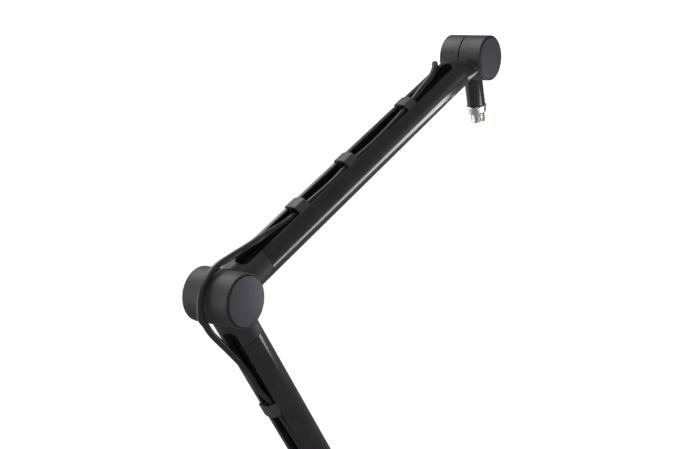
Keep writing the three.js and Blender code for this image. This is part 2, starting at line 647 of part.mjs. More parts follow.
function addClampScrew(root) {
  const rod = turnedZ([
    [0, SCREW_BOTTOM], [SCREW_R, SCREW_BOTTOM], [SCREW_R, PAD_TOP - 9.6], [4.5, PAD_TOP - 8.4],
    [4.5, PAD_TOP - 5], [0, PAD_TOP - 5],
  ], 24).translate(SCREW_X, 0, 0);
  addMesh(root, 'clamp_screw', rod, 'steel');
  const knob = solid(lobedKnob(21, 7, SCREW_BOTTOM - 6, SCREW_BOTTOM + 12).translate(SCREW_X, 0, 0))
    .subtract(solid(bar(
      SCREW_R + 0.1, [SCREW_X, 0, SCREW_BOTTOM - 0.1], [SCREW_X, 0, SCREW_BOTTOM + 20], 24,
    )));
  addMesh(root, 'clamp_knob', knob, 'clip');
  const plate = turnedZ([
    [0, PAD_TOP - 4.7], [4.8, PAD_TOP - 4.7], [4.8, PAD_TOP - 7.6], [8, PAD_TOP - 7.6],
    [17, PAD_TOP - 4.6], [17, PAD_TOP - 2.6], [16.5, PAD_TOP - 2], [0, PAD_TOP - 2],
  ], 24).translate(SCREW_X, 0, 0);
  addMesh(root, 'pressure_plate', plate, 'steel');
  addMesh(root, 'pressure_pad', bar(16, [SCREW_X, 0, PAD_TOP], [SCREW_X, 0, PAD_TOP - 2], 24), 'rubber');
}

function addPostLock(root) {
  const groove = POST_R - 1.2;
  addMesh(root, 'post_lock_screw', bar(3, [0, -34, LOCK_Z], [0, -groove - GAP, LOCK_Z], 20), 'steel');
  const knob = solid(lobedKnob(11, 5, 0, 14).rotateX(Math.PI / 2).translate(0, -22, LOCK_Z))
    .subtract(solid(bar(3.1, [0, -34.1, LOCK_Z], [0, -20, LOCK_Z], 20)));
  addMesh(root, 'post_lock_knob', knob, 'clip');
}

function addSwivel(root) {
  const post = turnedZ([
    [0, POST_BOTTOM + 0.3], [POST_R - 0.8, POST_BOTTOM + 0.3], [POST_R, POST_BOTTOM + 1.1],
    [POST_R, LOCK_Z - 4.2], [POST_R - 1.2, LOCK_Z - 3.6], [POST_R - 1.2, LOCK_Z + 3.6],
    [POST_R, LOCK_Z + 4.2], [POST_R, SOCKET_TOP + 14], [0, SOCKET_TOP + 14],
  ], 20);
  addMesh(root, 'swivel_post', post, 'steel');
  const foot = SOCKET_TOP + 1.4;
  const neck = solid(turnedZ([
    [0, foot], [SOCKET_R, foot], [SOCKET_R + 0.7, foot + 0.7], [SOCKET_R + 0.7, foot + 7],
    [TUBE_R - 1.6, foot + 9], [TUBE_R - 1.6, BASE_HEIGHT], [0, BASE_HEIGHT],
  ])).translate(0, 0, -BASE_HEIGHT)
    .subtract(solid(discY(DRUM_R - 0.5, -40, 40)))
    .subtract(solid(discY(DRUM_CLEAR_R, ELBOW.seam - SEAM_HALF, 40)));
  const knuckle = neck.add(solid(turned(nearHalfOutline(ELBOW, spoolOutline(ELBOW)), 28)))
    .translate(0, 0, BASE_HEIGHT)
    .subtract(solid(bar(POST_R + 0.3, [0, 0, 40], [0, 0, SOCKET_TOP + 14.1], 32)));
  addMesh(root, 'base_knuckle', knuckle, 'black_cast');
}

// --- microphone cable ----------------------------------------------------------------------------

// A point of an arm's channel, (along, across, out), in the arm's own axes.
function channelPoint([distance, across, out]) {
  const turn = CHANNEL_TURN * DEG;
  const y = across * Math.cos(turn) - out * Math.sin(turn);
  const z = across * Math.sin(turn) + out * Math.cos(turn);
  return new THREE.Vector3(distance, y, z);
}

// A point of an arm's channel in the stand's axes.
function channelPointInStand(origin, angle, point) {
  return channelPoint(point).applyAxisAngle(new THREE.Vector3(0, 1, 0), -angle * DEG).add(origin);
}

function fromOrigin(origin, points) {
  return points.map((point) => new THREE.Vector3(...point).add(origin));
}

// A length of cable: an octagonal tube through the points.
function cableTube(points) {
  const path = new THREE.CatmullRomCurve3(points, false, 'centripetal');
  const corners = [];
  for (let corner = 0; corner < 8; corner += 1) {
    const angle = (corner + 0.5) * 45 * DEG;
    corners.push(new THREE.Vector2(CABLE_R * Math.cos(angle), CABLE_R * Math.sin(angle)));
  }
  const steps = Math.ceil(path.getLength() / (4 * CABLE_R));
  const sweep = { extrudePath: path, steps, bevelEnabled: false };
  return new THREE.ExtrudeGeometry(new THREE.Shape(corners), sweep);
}

function addCable(root) {
  const lower = (point) => channelPointInStand(baseHinge, LOWER_ANGLE, point);
  const upper = (point) => channelPointInStand(elbowHinge, UPPER_ANGLE, point);
  const upperRun = CHANNEL_ROUTE_UPPER.map(upper).concat(fromOrigin(headHinge, TAIL_ROUTE));
  const elbowLoop = ELBOW_ROUTE_START.map(lower).concat(
    fromOrigin(elbowHinge, ELBOW_ROUTE), ELBOW_ROUTE_END.map(upper));
  const baseLoop = BASE_ROUTE_START.map(lower).concat(fromOrigin(new THREE.Vector3(), BASE_ROUTE));
  addMesh(root, 'cable_upper', cableTube(upperRun), 'cable');
  addMesh(root, 'cable_elbow', cableTube(elbowLoop), 'cable');
  addMesh(root, 'cable_lower', cableTube(CHANNEL_ROUTE_LOWER.map(lower)), 'cable');
  addMesh(root, 'cable_base', cableTube(baseLoop), 'cable');
  addMesh(root, 'cable_lead', cableTube(fromOrigin(new THREE.Vector3(), LEAD_ROUTE)), 'cable');
  const inner = COIL_MIDDLE_R - COIL_HALF_WIDTH;
  const outer = COIL_MIDDLE_R + COIL_HALF_WIDTH;
  const ringOutline = [[inner, COIL_BOTTOM], [outer, COIL_BOTTOM], [outer, COIL_TOP], [inner, COIL_TOP]];
  const ring = turnedZ(ringOutline, 28);
  addMesh(root, 'cable_coil', ring.translate(COIL_X, 0, 0), 'cable');
  addTies(root, inner, outer);
}

// The strap round the coil, and the band that holds the cable to the swivel base.
function addTies(root, inner, outer) {
  const half = 7;
  const strap = solid(block(COIL_X - half, COIL_X + half, inner - 3, outer + 1.9, 0, COIL_TOP + 1.7))
    .subtract(solid(block(
      COIL_X - half - 1, COIL_X + half + 1, inner - 1.6, outer + 0.5, 1.2, COIL_TOP + 0.4,
    )));
  addMesh(root, 'coil_strap', strap, 'clip');
  const bandTop = SOCKET_TOP + 7.6;
  const bandBottom = SOCKET_TOP + 3.4;
  const neckR = SOCKET_R + 0.7;
  const [cableX, cableY] = BASE_ROUTE[4];
  const band = solid(bar(neckR + 2, [0, 0, bandBottom], [0, 0, bandTop], 28))
    .add(solid(bar(CABLE_R + 2.2, [cableX, cableY, bandBottom], [cableX, cableY, bandTop], 14)))
    .subtract(solid(bar(neckR + 0.4, [0, 0, bandBottom - 1], [0, 0, bandTop + 1], 28)))
    .subtract(solid(bar(CABLE_R + 0.9, [cableX, cableY, bandBottom - 1], [cableX, cableY, bandTop + 1], 14)));
  addMesh(root, 'base_cable_band', band, 'clip');
}

// A cable connector along +X: tapered boot, shell and contact insert. The pins stand in a hollow shell.
function addConnector(root, prefix, tip, direction, hasPins) {
  const frame = new THREE.Group();
  frame.position.copy(tip);
  frame.quaternion.setFromUnitVectors(new THREE.Vector3(1, 0, 0), direction);
  const start = BOOT_LENGTH + GAP;
  const end = start + SHELL_LENGTH;
  const hollow = hasPins ? 17 : 3;
  const boot = [
    [0, GAP], [4.4, GAP], [4.8, GAP + 3], [7.6, BOOT_LENGTH - 3], [7.9, BOOT_LENGTH], [0, BOOT_LENGTH],
  ];
  addMesh(frame, `${prefix}_boot`, turned(boot, 16).rotateZ(-Math.PI / 2), 'rubber');
  const shell = [
    [0, start], [SHELL_R - 0.8, start], [SHELL_R - 0.2, start + 2],
    [SHELL_R, start + 12], [SHELL_R, end - 0.5],
    [SHELL_R - 0.5, end], [SHELL_R - 1.3, end], [SHELL_R - 1.3, end - hollow], [0, end - hollow],
  ];
  addMesh(frame, `${prefix}_shell`, turned(shell, 20).rotateZ(-Math.PI / 2), 'nickel');
  const seat = end - hollow + GAP;
  const insertEnd = hasPins ? seat + 4 : end - 0.4;
  let insert = solid(bar(SHELL_R - 1.6, [seat, 0, 0], [insertEnd, 0, 0], 20));
  for (const angle of [30, 150, 270]) {
    const y = 4.8 * Math.cos(angle * DEG);
    const z = 4.8 * Math.sin(angle * DEG);
    insert = hasPins
      ? insert.add(solid(bar(1.2, [insertEnd - 1, y, z], [end - 1.5, y, z], 10)))
      : insert.subtract(solid(bar(1.3, [seat + 1, y, z], [end, y, z], 10)));
  }
  addMesh(frame, `${prefix}_insert`, insert, 'clip');
  root.add(frame);
}

function addConnectors(root) {
  const tailEnd = new THREE.Vector3(...TAIL_ROUTE[TAIL_ROUTE.length - 1]).add(headHinge);
  const hang = along(new THREE.Vector3(), STEM_ANGLE, 1);
  addConnector(root, 'mic_connector', tailEnd, hang, false);
  const leadEnd = new THREE.Vector3(...LEAD_ROUTE[LEAD_ROUTE.length - 1]);
  addConnector(root, 'line_connector', leadEnd, new THREE.Vector3(0, -1, 0), true);
}

// --- assembly ------------------------------------------------------------------------------------

const stand = new THREE.Group();
addClamp(stand);
addClampScrew(stand);
addPostLock(stand);
addSwivel(stand);

const lowerArm = armFrame(baseHinge, LOWER_ANGLE);
const upperArm = armFrame(elbowHinge, UPPER_ANGLE);
const stemFrame = armFrame(headHinge, STEM_ANGLE);
stand.add(lowerArm, upperArm, stemFrame);

addMesh(lowerArm, 'lower_tube', armTube(UPPER_SLEEVE + GAP, ARM_LENGTH - LOWER_SLEEVE - GAP), 'black_metal');
addMesh(lowerArm, 'lower_base_fitting', bottomFitting(UPPER_SLEEVE), 'black_cast');
addMesh(lowerArm, 'lower_elbow_fitting', elbowFitting().translate(ARM_LENGTH, 0, 0), 'black_cast');
addSpring(lowerArm, 'lower');
addClips(lowerArm, 'lower', CLIP_STATIONS_LOWER);

addMesh(upperArm, 'upper_tube', armTube(UPPER_SLEEVE + GAP, ARM_LENGTH - NECK_START - GAP), 'black_metal');
addMesh(upperArm, 'upper_elbow_fitting', bottomFitting(UPPER_SLEEVE), 'black_cast');
addMesh(upperArm, 'upper_head_fitting', headFitting().translate(ARM_LENGTH, 0, 0), 'black_cast');
addSpring(upperArm, 'upper');
addClips(upperArm, 'upper', CLIP_STATIONS_UPPER);

addStem(stemFrame);

const baseFrame = new THREE.Group();
baseFrame.position.copy(baseHinge);
const elbowFrame = new THREE.Group();
elbowFrame.position.copy(elbowHinge);
const headFrame = new THREE.Group();
headFrame.position.copy(headHinge);
stand.add(baseFrame, elbowFrame, headFrame);
addHingeHardware(baseFrame, baseFrame, 'base', ELBOW);
addHingeHardware(elbowFrame, elbowFrame, 'elbow', ELBOW);
addHingeHardware(headFrame, headFrame, 'head', HEAD);
addCable(stand);
addConnectors(stand);

export default stand;
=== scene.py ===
"""Desk-clamped boom microphone stand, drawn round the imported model's frame.

Shapes are drawn in millimetres, in the frame of the arm, hinge or clamp that they belong to, and are
then placed in the stand's own frame in metres. An arm's frame has +X along the arm from its hinge,
+Y along the hinge axis and +Z on the side of the cable channel.
"""
import json
import math

import bmesh
import bpy
import numpy as np
from mathutils import Matrix, Vector


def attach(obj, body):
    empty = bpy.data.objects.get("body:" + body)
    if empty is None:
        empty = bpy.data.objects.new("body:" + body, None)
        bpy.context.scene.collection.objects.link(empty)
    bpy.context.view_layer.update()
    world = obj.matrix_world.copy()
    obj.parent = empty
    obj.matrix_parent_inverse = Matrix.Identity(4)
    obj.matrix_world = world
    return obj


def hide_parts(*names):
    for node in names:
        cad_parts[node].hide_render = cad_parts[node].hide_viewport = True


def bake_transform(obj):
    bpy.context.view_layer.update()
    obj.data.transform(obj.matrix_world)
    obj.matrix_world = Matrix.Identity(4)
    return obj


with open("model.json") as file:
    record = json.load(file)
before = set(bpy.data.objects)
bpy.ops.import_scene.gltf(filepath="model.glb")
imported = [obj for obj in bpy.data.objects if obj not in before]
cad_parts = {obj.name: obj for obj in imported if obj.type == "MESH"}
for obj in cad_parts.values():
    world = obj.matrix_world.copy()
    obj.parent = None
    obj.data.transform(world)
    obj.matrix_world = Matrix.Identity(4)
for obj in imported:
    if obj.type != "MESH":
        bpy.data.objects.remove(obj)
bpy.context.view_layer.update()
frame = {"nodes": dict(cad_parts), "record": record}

MM = 0.001
ROUND = 128
SHARP_ANGLE = math.radians(30)

# Arms
STEM_ANGLE = -75.7
TUBE_R = 17.7
LIP = 0.4
CHANNEL_TURN = math.radians(15.5)
CHANNEL_HALF = 6.3
CHANNEL_FLOOR = 4.5
CHANNEL_FOOT = 0.9
SLOT_START = 27
LOWER_SLEEVE = 46
UPPER_SLEEVE = 52
HEAD_FILL = 47
NECK_START = 42
NECK_HALF_WIDTH = 24.3
NECK_HALF_HEIGHT = 12
NECK_END = 8
SLIT_START = 34.3
SLIT_RUN = 7.8
SLIT_TURN = -52
SLIT_SWEEP = -37
SLIT_R = 0.7
SPRING_OUT = 6.6
CLIP_STATIONS_UPPER = (120, 201, 311)
CLIP_STATIONS_LOWER = (124, 214, 314.5)
CLIP_LENGTH = 15.5
CLIP_EDGE_LOW = 14.4
CLIP_EDGE_HIGH = 15.8
CLIP_RISE = 2.1
CLIP_TAB_TURN = 17
CLIP_LEG = 1.1
CLIP_FOOT = 9.5
GAP = 0.3

# Hinge drums: the near half ends at -Y, the far half at +Y
DRUM_R = 24
DRUM_CLEAR_R = 24.6
ELBOW_DRUM = {"near": -28.5, "seam": -1.4, "far": 22.5}
HEAD_DRUM = {"near": -24.5, "seam": 1.2, "far": 24.5}
SEAM_HALF = 0.5
BOLT_R = 4
BORE_R = BOLT_R + 0.15
CAP_R = 21.7
CAP_SEAT_R = CAP_R + 0.4
CAP_BORE_R = 9
POCKET_NEAR = 12
POCKET_FAR = 8
FAR_BORE_R = 20
FAR_BORE_DEPTH = 11.4
CAP_RECESS = 3.4
CAP_RIM = 4.6
CAP_DOME = 1.2
SPOOL_Y = 6.4
SPOOL_R = 10
SPOOL_GROOVE_R = 7
SPOOL_WIRE_Z = -8.1
WIRE_BORE_R = 2
FOLD_HALF_ANGLE = 37.6

# Microphone stem and thread adapter, along the stem from the head hinge
STEM_R = 9.95
STEM_FROM = 10
STEM_END = 53
STEM_ROOT_R = 19.4
STEM_ROOT = 11
COLLAR_R = 11.1
COLLAR_END = 62
NOSE_R = 7.94
NOSE_END = 72
NOSE_PITCH = 0.94
STEM_LIMITS = (-5, 110)
NOTCH_MARGIN = 32

# Clamp and swivel base
JAW_WIDTH = 40
JAW_TIP = -62
SPINE_INNER = 20
SPINE_OUTER = 34
JAW_BOTTOM = 3
JAW_TOP = 15
LOW_JAW_TOP = -66
LOW_JAW_BOTTOM = -78
SOCKET_TOP = 45
SOCKET_R = 17
POST_R = 7
POST_BOTTOM = 9
SCREW_X = -28
SCREW_R = 6
SCREW_PITCH = 3
SCREW_BOTTOM = -122
PAD_TOP = -37
LOCK_Z = 30
LOCK_SCREW_R = 3
LOCK_KNOB_R = 11
CLAMP_KNOB_R = 21

# Microphone cable: channel routes are (along, across, out) of an arm's channel, and free routes
# (x, y, z) from a hinge or from the stand's own origin.
CABLE_R = 3
CHANNEL_ROUTE_LOWER = [
    (331.5, 0.8, 14.8), (326, 0.3, 14), (300, -1.2, 12.6), (270, -2.6, 12.2), (240, -2.4, 12.2),
    (222, -1.4, 12.5), (206, -0.8, 12.6), (190, 0.4, 12.4), (160, 2.2, 12.2),
    (140, 1.4, 12.4), (124, 0.6, 13), (105, 0.2, 13.6), (84, 0, 15),
]
CHANNEL_ROUTE_UPPER = [
    (101, 0.3, 12.4), (114, 0.1, 11.6), (126, -0.4, 11.8), (145, -1.8, 12.4), (170, -2.6, 12.4),
    (193, -1.4, 12.5), (209, -1.4, 12.6), (235, -2.6, 12.4), (265, -2, 12.2),
    (290, -0.8, 12.6), (313, 0.4, 13.6), (326, 1, 15.2), (341, 1.8, 17.4),
]
TAIL_ROUTE = [
    (-86.6, -3.3, -18.8), (-75, -0.5, -12.2), (-64.1, 4.4, -6.9), (-58.3, 8.1, -5.1), (-51.7, 13, -5.1),
    (-44.7, 17.3, -7), (-36.7, 21.8, -11.2), (-29, 25.2, -14.7), (-23, 28.3, -15.2), (-15.3, 30.8, -14.6),
    (-5.5, 31.8, -11.9), (6, 32.2, -6), (18, 32.4, 1), (29, 32.7, 6), (42.4, 33, 7), (47.9, 33, 5.8),
    (52.4, 33, 2.4), (55, 33, -2.8), (56.2, 33, -7.5),
]
ELBOW_ROUTE_START = [
    (331.8, 0.8, 14.8), (344.8, 2, 16.5), (360.3, 2, 17), (371.9, 2, 18.4), (381, 2, 19.4), (391.6, 2, 21.8),
]
ELBOW_ROUTE = [
    (6.1, -2.8, -48.8), (-1.6, -2.8, -41.7), (-15.8, -2.8, -28.1), (-22.5, -2.8, -19.4), (-27.6, -2.8, -13),
    (-28.3, -2.8, -6.2), (-28.3, -2.8, 0.7), (-26.4, -2.8, 8.7), (-22.8, -2.8, 15.9), (-15.6, -2.8, 23.3),
    (-5.6, -2.8, 28.6), (8.1, -2.8, 32.6), (23.3, -2.8, 36.6),
]
ELBOW_ROUTE_END = [(53.5, 1, 22.1), (73.7, 1, 17.7), (90, 0.8, 13.9), (100.7, 0.3, 12.4)]
BASE_ROUTE_START = [(83.7, 0, 15), (68, 0, 17.4), (54, 0, 21)]
BASE_ROUTE = [
    (-42, -4, 108), (-38.5, -3.6, 92), (-31.5, -3.3, 76), (-25.2, -3.1, 63), (-23.5, -3, 55),
    (-23.5, -3, 47), (-27, -3, 38), (-36, -3.2, 28), (-48, -4, 22), (-61, -7, 18.6), (-73, -14, 13.6),
    (-85, -23.6, 7.6), (-97, -34, 4.8), (-105, -39.8, 4.5),
]
BAND_INDEX = 5
COIL_ENTRY = [(-112, -42, 4.5), (-121, -41, 4.5)]
COIL_EXIT = [(-170, 8, 16.5), (-170, 16, 16.4)]
LEAD_ROUTE = [
    (-170, 24.6, 15.6), (-170.6, 34, 12.4), (-174, 44.6, 8), (-182, 52.6, 4.6), (-193, 55, 5),
    (-201.6, 50.6, 8), (-205, 41.6, 9.6), (-205, 33, 9.6),
]
COIL_X = -130
COIL_SLOTS = (
    (40, 4.5), (34, 4.5), (28, 4.5), (28, 10.5), (28, 16.5), (34, 16.5), (34, 10.5), (40, 10.5), (40, 16.5),
)
COIL_STEPS = 28
COIL_INNER = 24.7
COIL_OUTER = 43.3
COIL_TOP = 19.9

# Connectors on the cable's ends
SHELL_R = 9.3
SHELL_LENGTH = 42
BOOT_LENGTH = 14

# Camera, from the elbow hinge, and stage
CAMERA_OFFSET = Vector((-740.56, -687.27, 238.80))
CAMERA_RIGHT = Vector((0.6030, -0.7977, -0.0031))
CAMERA_UP = Vector((0.1401, 0.1021, 0.9849))
CAMERA_LENS = 64.49
SENSOR = 36
DESK_EDGE = 14
DESK_BOTTOM = -37
DESK_LENGTH = 900
DESK_HALF_WIDTH = 600
FLOOR_DEPTH = -760
FLOOR_R = 16000
FLOOR_RIM = 4000
FLOOR_SIDES = 96


# --- frames --------------------------------------------------------------------------------------

joints = {joint["name"]: joint for joint in frame["record"]["behaviour"]["joints"]}


def hinge_at(name):
    return Vector(joints[name]["pos_m"]) / MM


BASE_AT = hinge_at("base_tilt")
ELBOW_AT = hinge_at("elbow")
HEAD_AT = hinge_at("head_tilt")
ARM = (ELBOW_AT - BASE_AT).length
UPPER_ANGLE = math.degrees(math.atan2(HEAD_AT.z - ELBOW_AT.z, HEAD_AT.x - ELBOW_AT.x))
IDENTITY = Matrix.Identity(4)


def frame_along(origin, direction):
    """A frame at origin with +X along a direction in the XZ plane, and +Y kept."""
    along = Vector(direction).normalized()
    across = Vector((0, 1, 0))
    rows = Matrix((along, across, along.cross(across))).transposed().to_4x4()
    return Matrix.Translation(origin) @ rows


def frame_pointing(origin, direction):
    """A frame at origin with +X along any direction."""
    turn = Vector((1, 0, 0)).rotation_difference(Vector(direction))
    return Matrix.Translation(origin) @ turn.to_matrix().to_4x4()


STEM_DIRECTION = Vector((math.cos(math.radians(STEM_ANGLE)), 0, math.sin(math.radians(STEM_ANGLE))))
LOWER = frame_along(BASE_AT, ELBOW_AT - BASE_AT)
UPPER = frame_along(ELBOW_AT, HEAD_AT - ELBOW_AT)
STEM = frame_along(HEAD_AT, STEM_DIRECTION)
BASE_HINGE = Matrix.Translation(BASE_AT)
ELBOW_HINGE = Matrix.Translation(ELBOW_AT)
HEAD_HINGE = Matrix.Translation(HEAD_AT)
ARM_END = Matrix.Translation((ARM, 0, 0))
Y_TO_X = Matrix.Rotation(-math.pi / 2, 4, "Z")
Y_TO_Z = Matrix.Rotation(math.pi / 2, 4, "X")
ROLL = Matrix.Rotation(CHANNEL_TURN, 4, "X")


# --- materials -----------------------------------------------------------------------------------

def surface(name, color, roughness, metallic=0.0, specular=0.5, tint=0.12, patch_scale=45,
            grain_scale=1800, grain_depth=0.00002, edge=0.0, roughness_spread=0.06):
    """A paint, moulding or metal with soft patches of tone, a fine grain and, if asked, rounded edges."""
    material = bpy.data.materials.new(name)
    material.use_nodes = True
    nodes = material.node_tree.nodes
    links = material.node_tree.links
    shader = nodes["Principled BSDF"]
    shader.inputs["Metallic"].default_value = metallic
    shader.inputs["Specular IOR Level"].default_value = specular
    place = nodes.new("ShaderNodeTexCoord")
    patches = nodes.new("ShaderNodeTexNoise")
    patches.inputs["Scale"].default_value = patch_scale
    patches.inputs["Detail"].default_value = 6
    links.new(place.outputs["Object"], patches.inputs["Vector"])
    tones = nodes.new("ShaderNodeValToRGB")
    dark = [channel * (1 - tint) for channel in color]
    light = [channel * (1 + tint) for channel in color]
    tones.color_ramp.elements[0].position = 0.3
    tones.color_ramp.elements[1].position = 0.7
    tones.color_ramp.elements[0].color = (*dark, 1)
    tones.color_ramp.elements[1].color = (*light, 1)
    links.new(patches.outputs["Fac"], tones.inputs["Fac"])
    links.new(tones.outputs["Color"], shader.inputs["Base Color"])
    spread = nodes.new("ShaderNodeMapRange")
    spread.inputs["From Min"].default_value = 0.3
    spread.inputs["From Max"].default_value = 0.7
    spread.inputs["To Min"].default_value = max(0.03, roughness - roughness_spread)
    spread.inputs["To Max"].default_value = roughness + roughness_spread
    links.new(patches.outputs["Fac"], spread.inputs["Value"])
    links.new(spread.outputs["Result"], shader.inputs["Roughness"])
    grain = nodes.new("ShaderNodeTexNoise")
    grain.inputs["Scale"].default_value = grain_scale
    grain.inputs["Detail"].default_value = 3
    links.new(place.outputs["Object"], grain.inputs["Vector"])
    bump = nodes.new("ShaderNodeBump")
    bump.inputs["Strength"].default_value = 1
    bump.inputs["Distance"].default_value = grain_depth
    links.new(grain.outputs["Fac"], bump.inputs["Height"])
    if edge:
        bevel = nodes.new("ShaderNodeBevel")
        bevel.inputs["Radius"].default_value = edge
        links.new(bevel.outputs["Normal"], bump.inputs["Normal"])
    links.new(bump.outputs["Normal"], shader.inputs["Normal"])
    return material


FINISHES = {
    "satin_black_tube": surface("satin_black", (0.016, 0.016, 0.0165), 0.19, specular=0.42,
                                roughness_spread=0.02, grain_scale=900, grain_depth=0.000006),
    "black_casting": surface("powder_black", (0.0187, 0.0187, 0.0198), 0.55, edge=0.0005,
                             grain_scale=2200, grain_depth=0.00003),
    "hinge_cap": surface("cap_satin", (0.075, 0.073, 0.09), 0.48, metallic=0.5,
                         tint=0.04, patch_scale=90, roughness_spread=0.02, grain_scale=3000,
                         grain_depth=0.000002),
    "cable_clip": surface("clip_moulding", (0.036, 0.036, 0.038), 0.46, edge=0.0002,
                          grain_scale=2600, grain_depth=0.00002),
    "knob": surface("knob_moulding", (0.02, 0.02, 0.021), 0.5, grain_scale=2200, grain_depth=0.00003),
    "rubber_pad": surface("rubber", (0.018, 0.018, 0.018), 0.8, specular=0.3, grain_scale=2600,
                          grain_depth=0.00005),
    "cable_jacket": surface("cable_jacket", (0.014, 0.014, 0.015), 0.36, grain_scale=1500,
                            grain_depth=0.00002),
    "connector_insert": surface("insert_moulding", (0.02, 0.02, 0.02), 0.5, grain_depth=0.00001),
    "bright_nickel": surface("nickel", (0.9, 0.88, 0.86), 0.25, metallic=1, tint=0.02,
                             roughness_spread=0.04, grain_scale=2500, grain_depth=0.000004),
    "grey_nylon": surface("nylon", (0.3, 0.3, 0.3), 0.5, grain_depth=0.00001),
    "zinc_steel": surface("zinc_steel", (0.52, 0.52, 0.53), 0.32, metallic=1, tint=0.08,
                          grain_scale=1600, grain_depth=0.00001),
}
SLOTS = {entry["node"]: entry["material_slot"] for entry in frame["record"]["subparts"]}


# --- meshes --------------------------------------------------------------------------------------

def new_mesh(points, faces):
    """A closed mesh in millimetres with merged points and faces that look outwards."""
    mesh = bpy.data.meshes.new("shape")
    mesh.from_pydata([tuple(point) for point in points], [], faces)
    work = bmesh.new()
    work.from_mesh(mesh)
    bmesh.ops.remove_doubles(work, verts=work.verts, dist=1e-4)
    bmesh.ops.recalc_face_normals(work, faces=work.faces)
    work.to_mesh(mesh)
    work.free()
    return mesh


def strip_faces(rows, count, first=0):
    """The faces between rings of count points, one ring after another from a first point on."""
    faces = []
    for row in range(rows - 1):
        low, high = first + row * count, first + (row + 1) * count
        for k in range(count):
            ahead = (k + 1) % count
            faces.append([low + k, low + ahead, high + ahead, high + k])
    return faces


def rounded(corners, closed=False, steps=5):
    """An outline whose (a, b, radius) corners are arcs; a corner with no radius stays sharp."""
    outline = []
    count = len(corners)
    for index, corner in enumerate(corners):
        here = Vector(corner[:2])
        is_end = not closed and index in (0, count - 1)
        if is_end or len(corner) < 3:
            outline.append(here)
            continue
        back = Vector(corners[index - 1][:2]) - here
        ahead = Vector(corners[(index + 1) % count][:2]) - here
        half = back.angle(ahead) / 2
        reach = min(corner[2] / math.tan(half), 0.48 * back.length, 0.48 * ahead.length)
        middle = (back.normalized() + ahead.normalized()).normalized()
        centre = here + middle * reach / math.cos(half)
        start = here + back.normalized() * reach - centre
        end = here + ahead.normalized() * reach - centre
        sweep = start.angle(end)
        for step in range(steps + 1):
            share = step / steps
            spoke = start * math.sin((1 - share) * sweep) + end * math.sin(share * sweep)
            outline.append(centre + spoke / math.sin(sweep))
    return outline


def lathe(corners, segments=ROUND, closed=False):
    """Rounded (radius, height) corners turned about the Y axis."""
    profile = rounded(corners, closed)
    angles = np.arange(segments) * 2 * math.pi / segments
    points, rings = [], []
    for radius, height in profile:
        if radius < 1e-6:
            rings.append([len(points)] * segments)
            points.append((0, height, 0))
        else:
            rings.append([len(points) + k for k in range(segments)])
            points += [(radius * math.cos(a), height, radius * math.sin(a)) for a in angles]
    pairs = list(zip(rings, rings[1:]))
    if closed:
        pairs.append((rings[-1], rings[0]))
    faces = []
    for low, high in pairs:
        for k in range(segments):
            ahead = (k + 1) % segments
            loop = [low[k], low[ahead], high[ahead], high[k]]
            faces.append([corner for spot, corner in enumerate(loop) if corner != loop[spot - 1]])
    return new_mesh(points, faces)


def disc(radius, low, high, segments=ROUND):
    return lathe([(0, low), (radius, low), (radius, high), (0, high)], segments)


def rod(radius, start, end, segments=64):
    """A plain cylinder between two points."""
    start, end = Vector(start), Vector(end)
    mesh = disc(radius, 0, (end - start).length, segments)
    turn = Vector((0, 1, 0)).rotation_difference(end - start).to_matrix().to_4x4()
    return moved(mesh, Matrix.Translation(start) @ turn)


def moved(mesh, matrix):
    mesh.transform(matrix)
    return mesh


def inset_loop(outline, distance):
    """A closed outline moved towards its inside by a distance."""
    count = len(outline)
    area = sum(a.x * b.y - b.x * a.y for a, b in zip(outline, outline[1:] + outline[:1]))
    side = 1 if area > 0 else -1
    result = []
    for index, here in enumerate(outline):
        back = (here - outline[index - 1]).normalized()
        ahead = (outline[(index + 1) % count] - here).normalized()
        tangent = back + ahead
        if tangent.length < 1e-6:
            tangent = ahead
        tangent.normalize()
        normal = Vector((-tangent.y, tangent.x)) * side
        stretch = max(0.5, tangent.dot(ahead))
        result.append(here + normal * distance / stretch)
    return result


def prism(outline, low, high, edge=0.0, axis="Z", steps=4):
    """A closed outline pushed along an axis, with rounded rims if edge is given."""
    levels = [(low, 0), (high, 0)]
    if edge:
        turns = [math.pi / 2 * step / steps for step in range(steps + 1)]
        lower = [(low + edge * (1 - math.cos(turn)), edge * (1 - math.sin(turn))) for turn in turns]
        levels = lower + [(high + low - level, shrink) for level, shrink in reversed(lower)]
    points = []
    for level, shrink in levels:
        loop = inset_loop(outline, shrink) if shrink > 1e-6 else outline
        if axis == "X":
            points += [(level, spot.x, spot.y) for spot in loop]
        elif axis == "Y":
            points += [(spot.x, level, spot.y) for spot in loop]
        else:
            points += [(spot.x, spot.y, level) for spot in loop]
    count = len(outline)
    ends = [list(range(count)), list(range(len(points) - count, len(points)))]
    return new_mesh(points, ends + strip_faces(len(levels), count))


def slab(x0, x1, y0, y1, z0, z1, edge=0.0, corner=0.0):
    """A block with rounded upright corners and rims."""
    radius = (corner,) if corner else ()
    outline = rounded([(x0, y0, *radius), (x1, y0, *radius), (x1, y1, *radius), (x0, y1, *radius)], True)
    return prism(outline, z0, z1, edge)


def arc_points(radius, start, end, steps):
    """Points on a circle between two angles in degrees."""
    turns = [math.radians(start + (end - start) * step / steps) for step in range(steps + 1)]
    return [Vector((radius * math.cos(turn), radius * math.sin(turn))) for turn in turns]


def sector(inner, outer, start, end, low, high):
    """A ring sector about Y, between two angles in degrees from +X towards +Z."""
    steps = max(4, int(abs(end - start) / 3))
    outline = arc_points(outer, start, end, steps) + arc_points(inner, end, start, steps)
    return prism(outline, low, high, axis="Y")


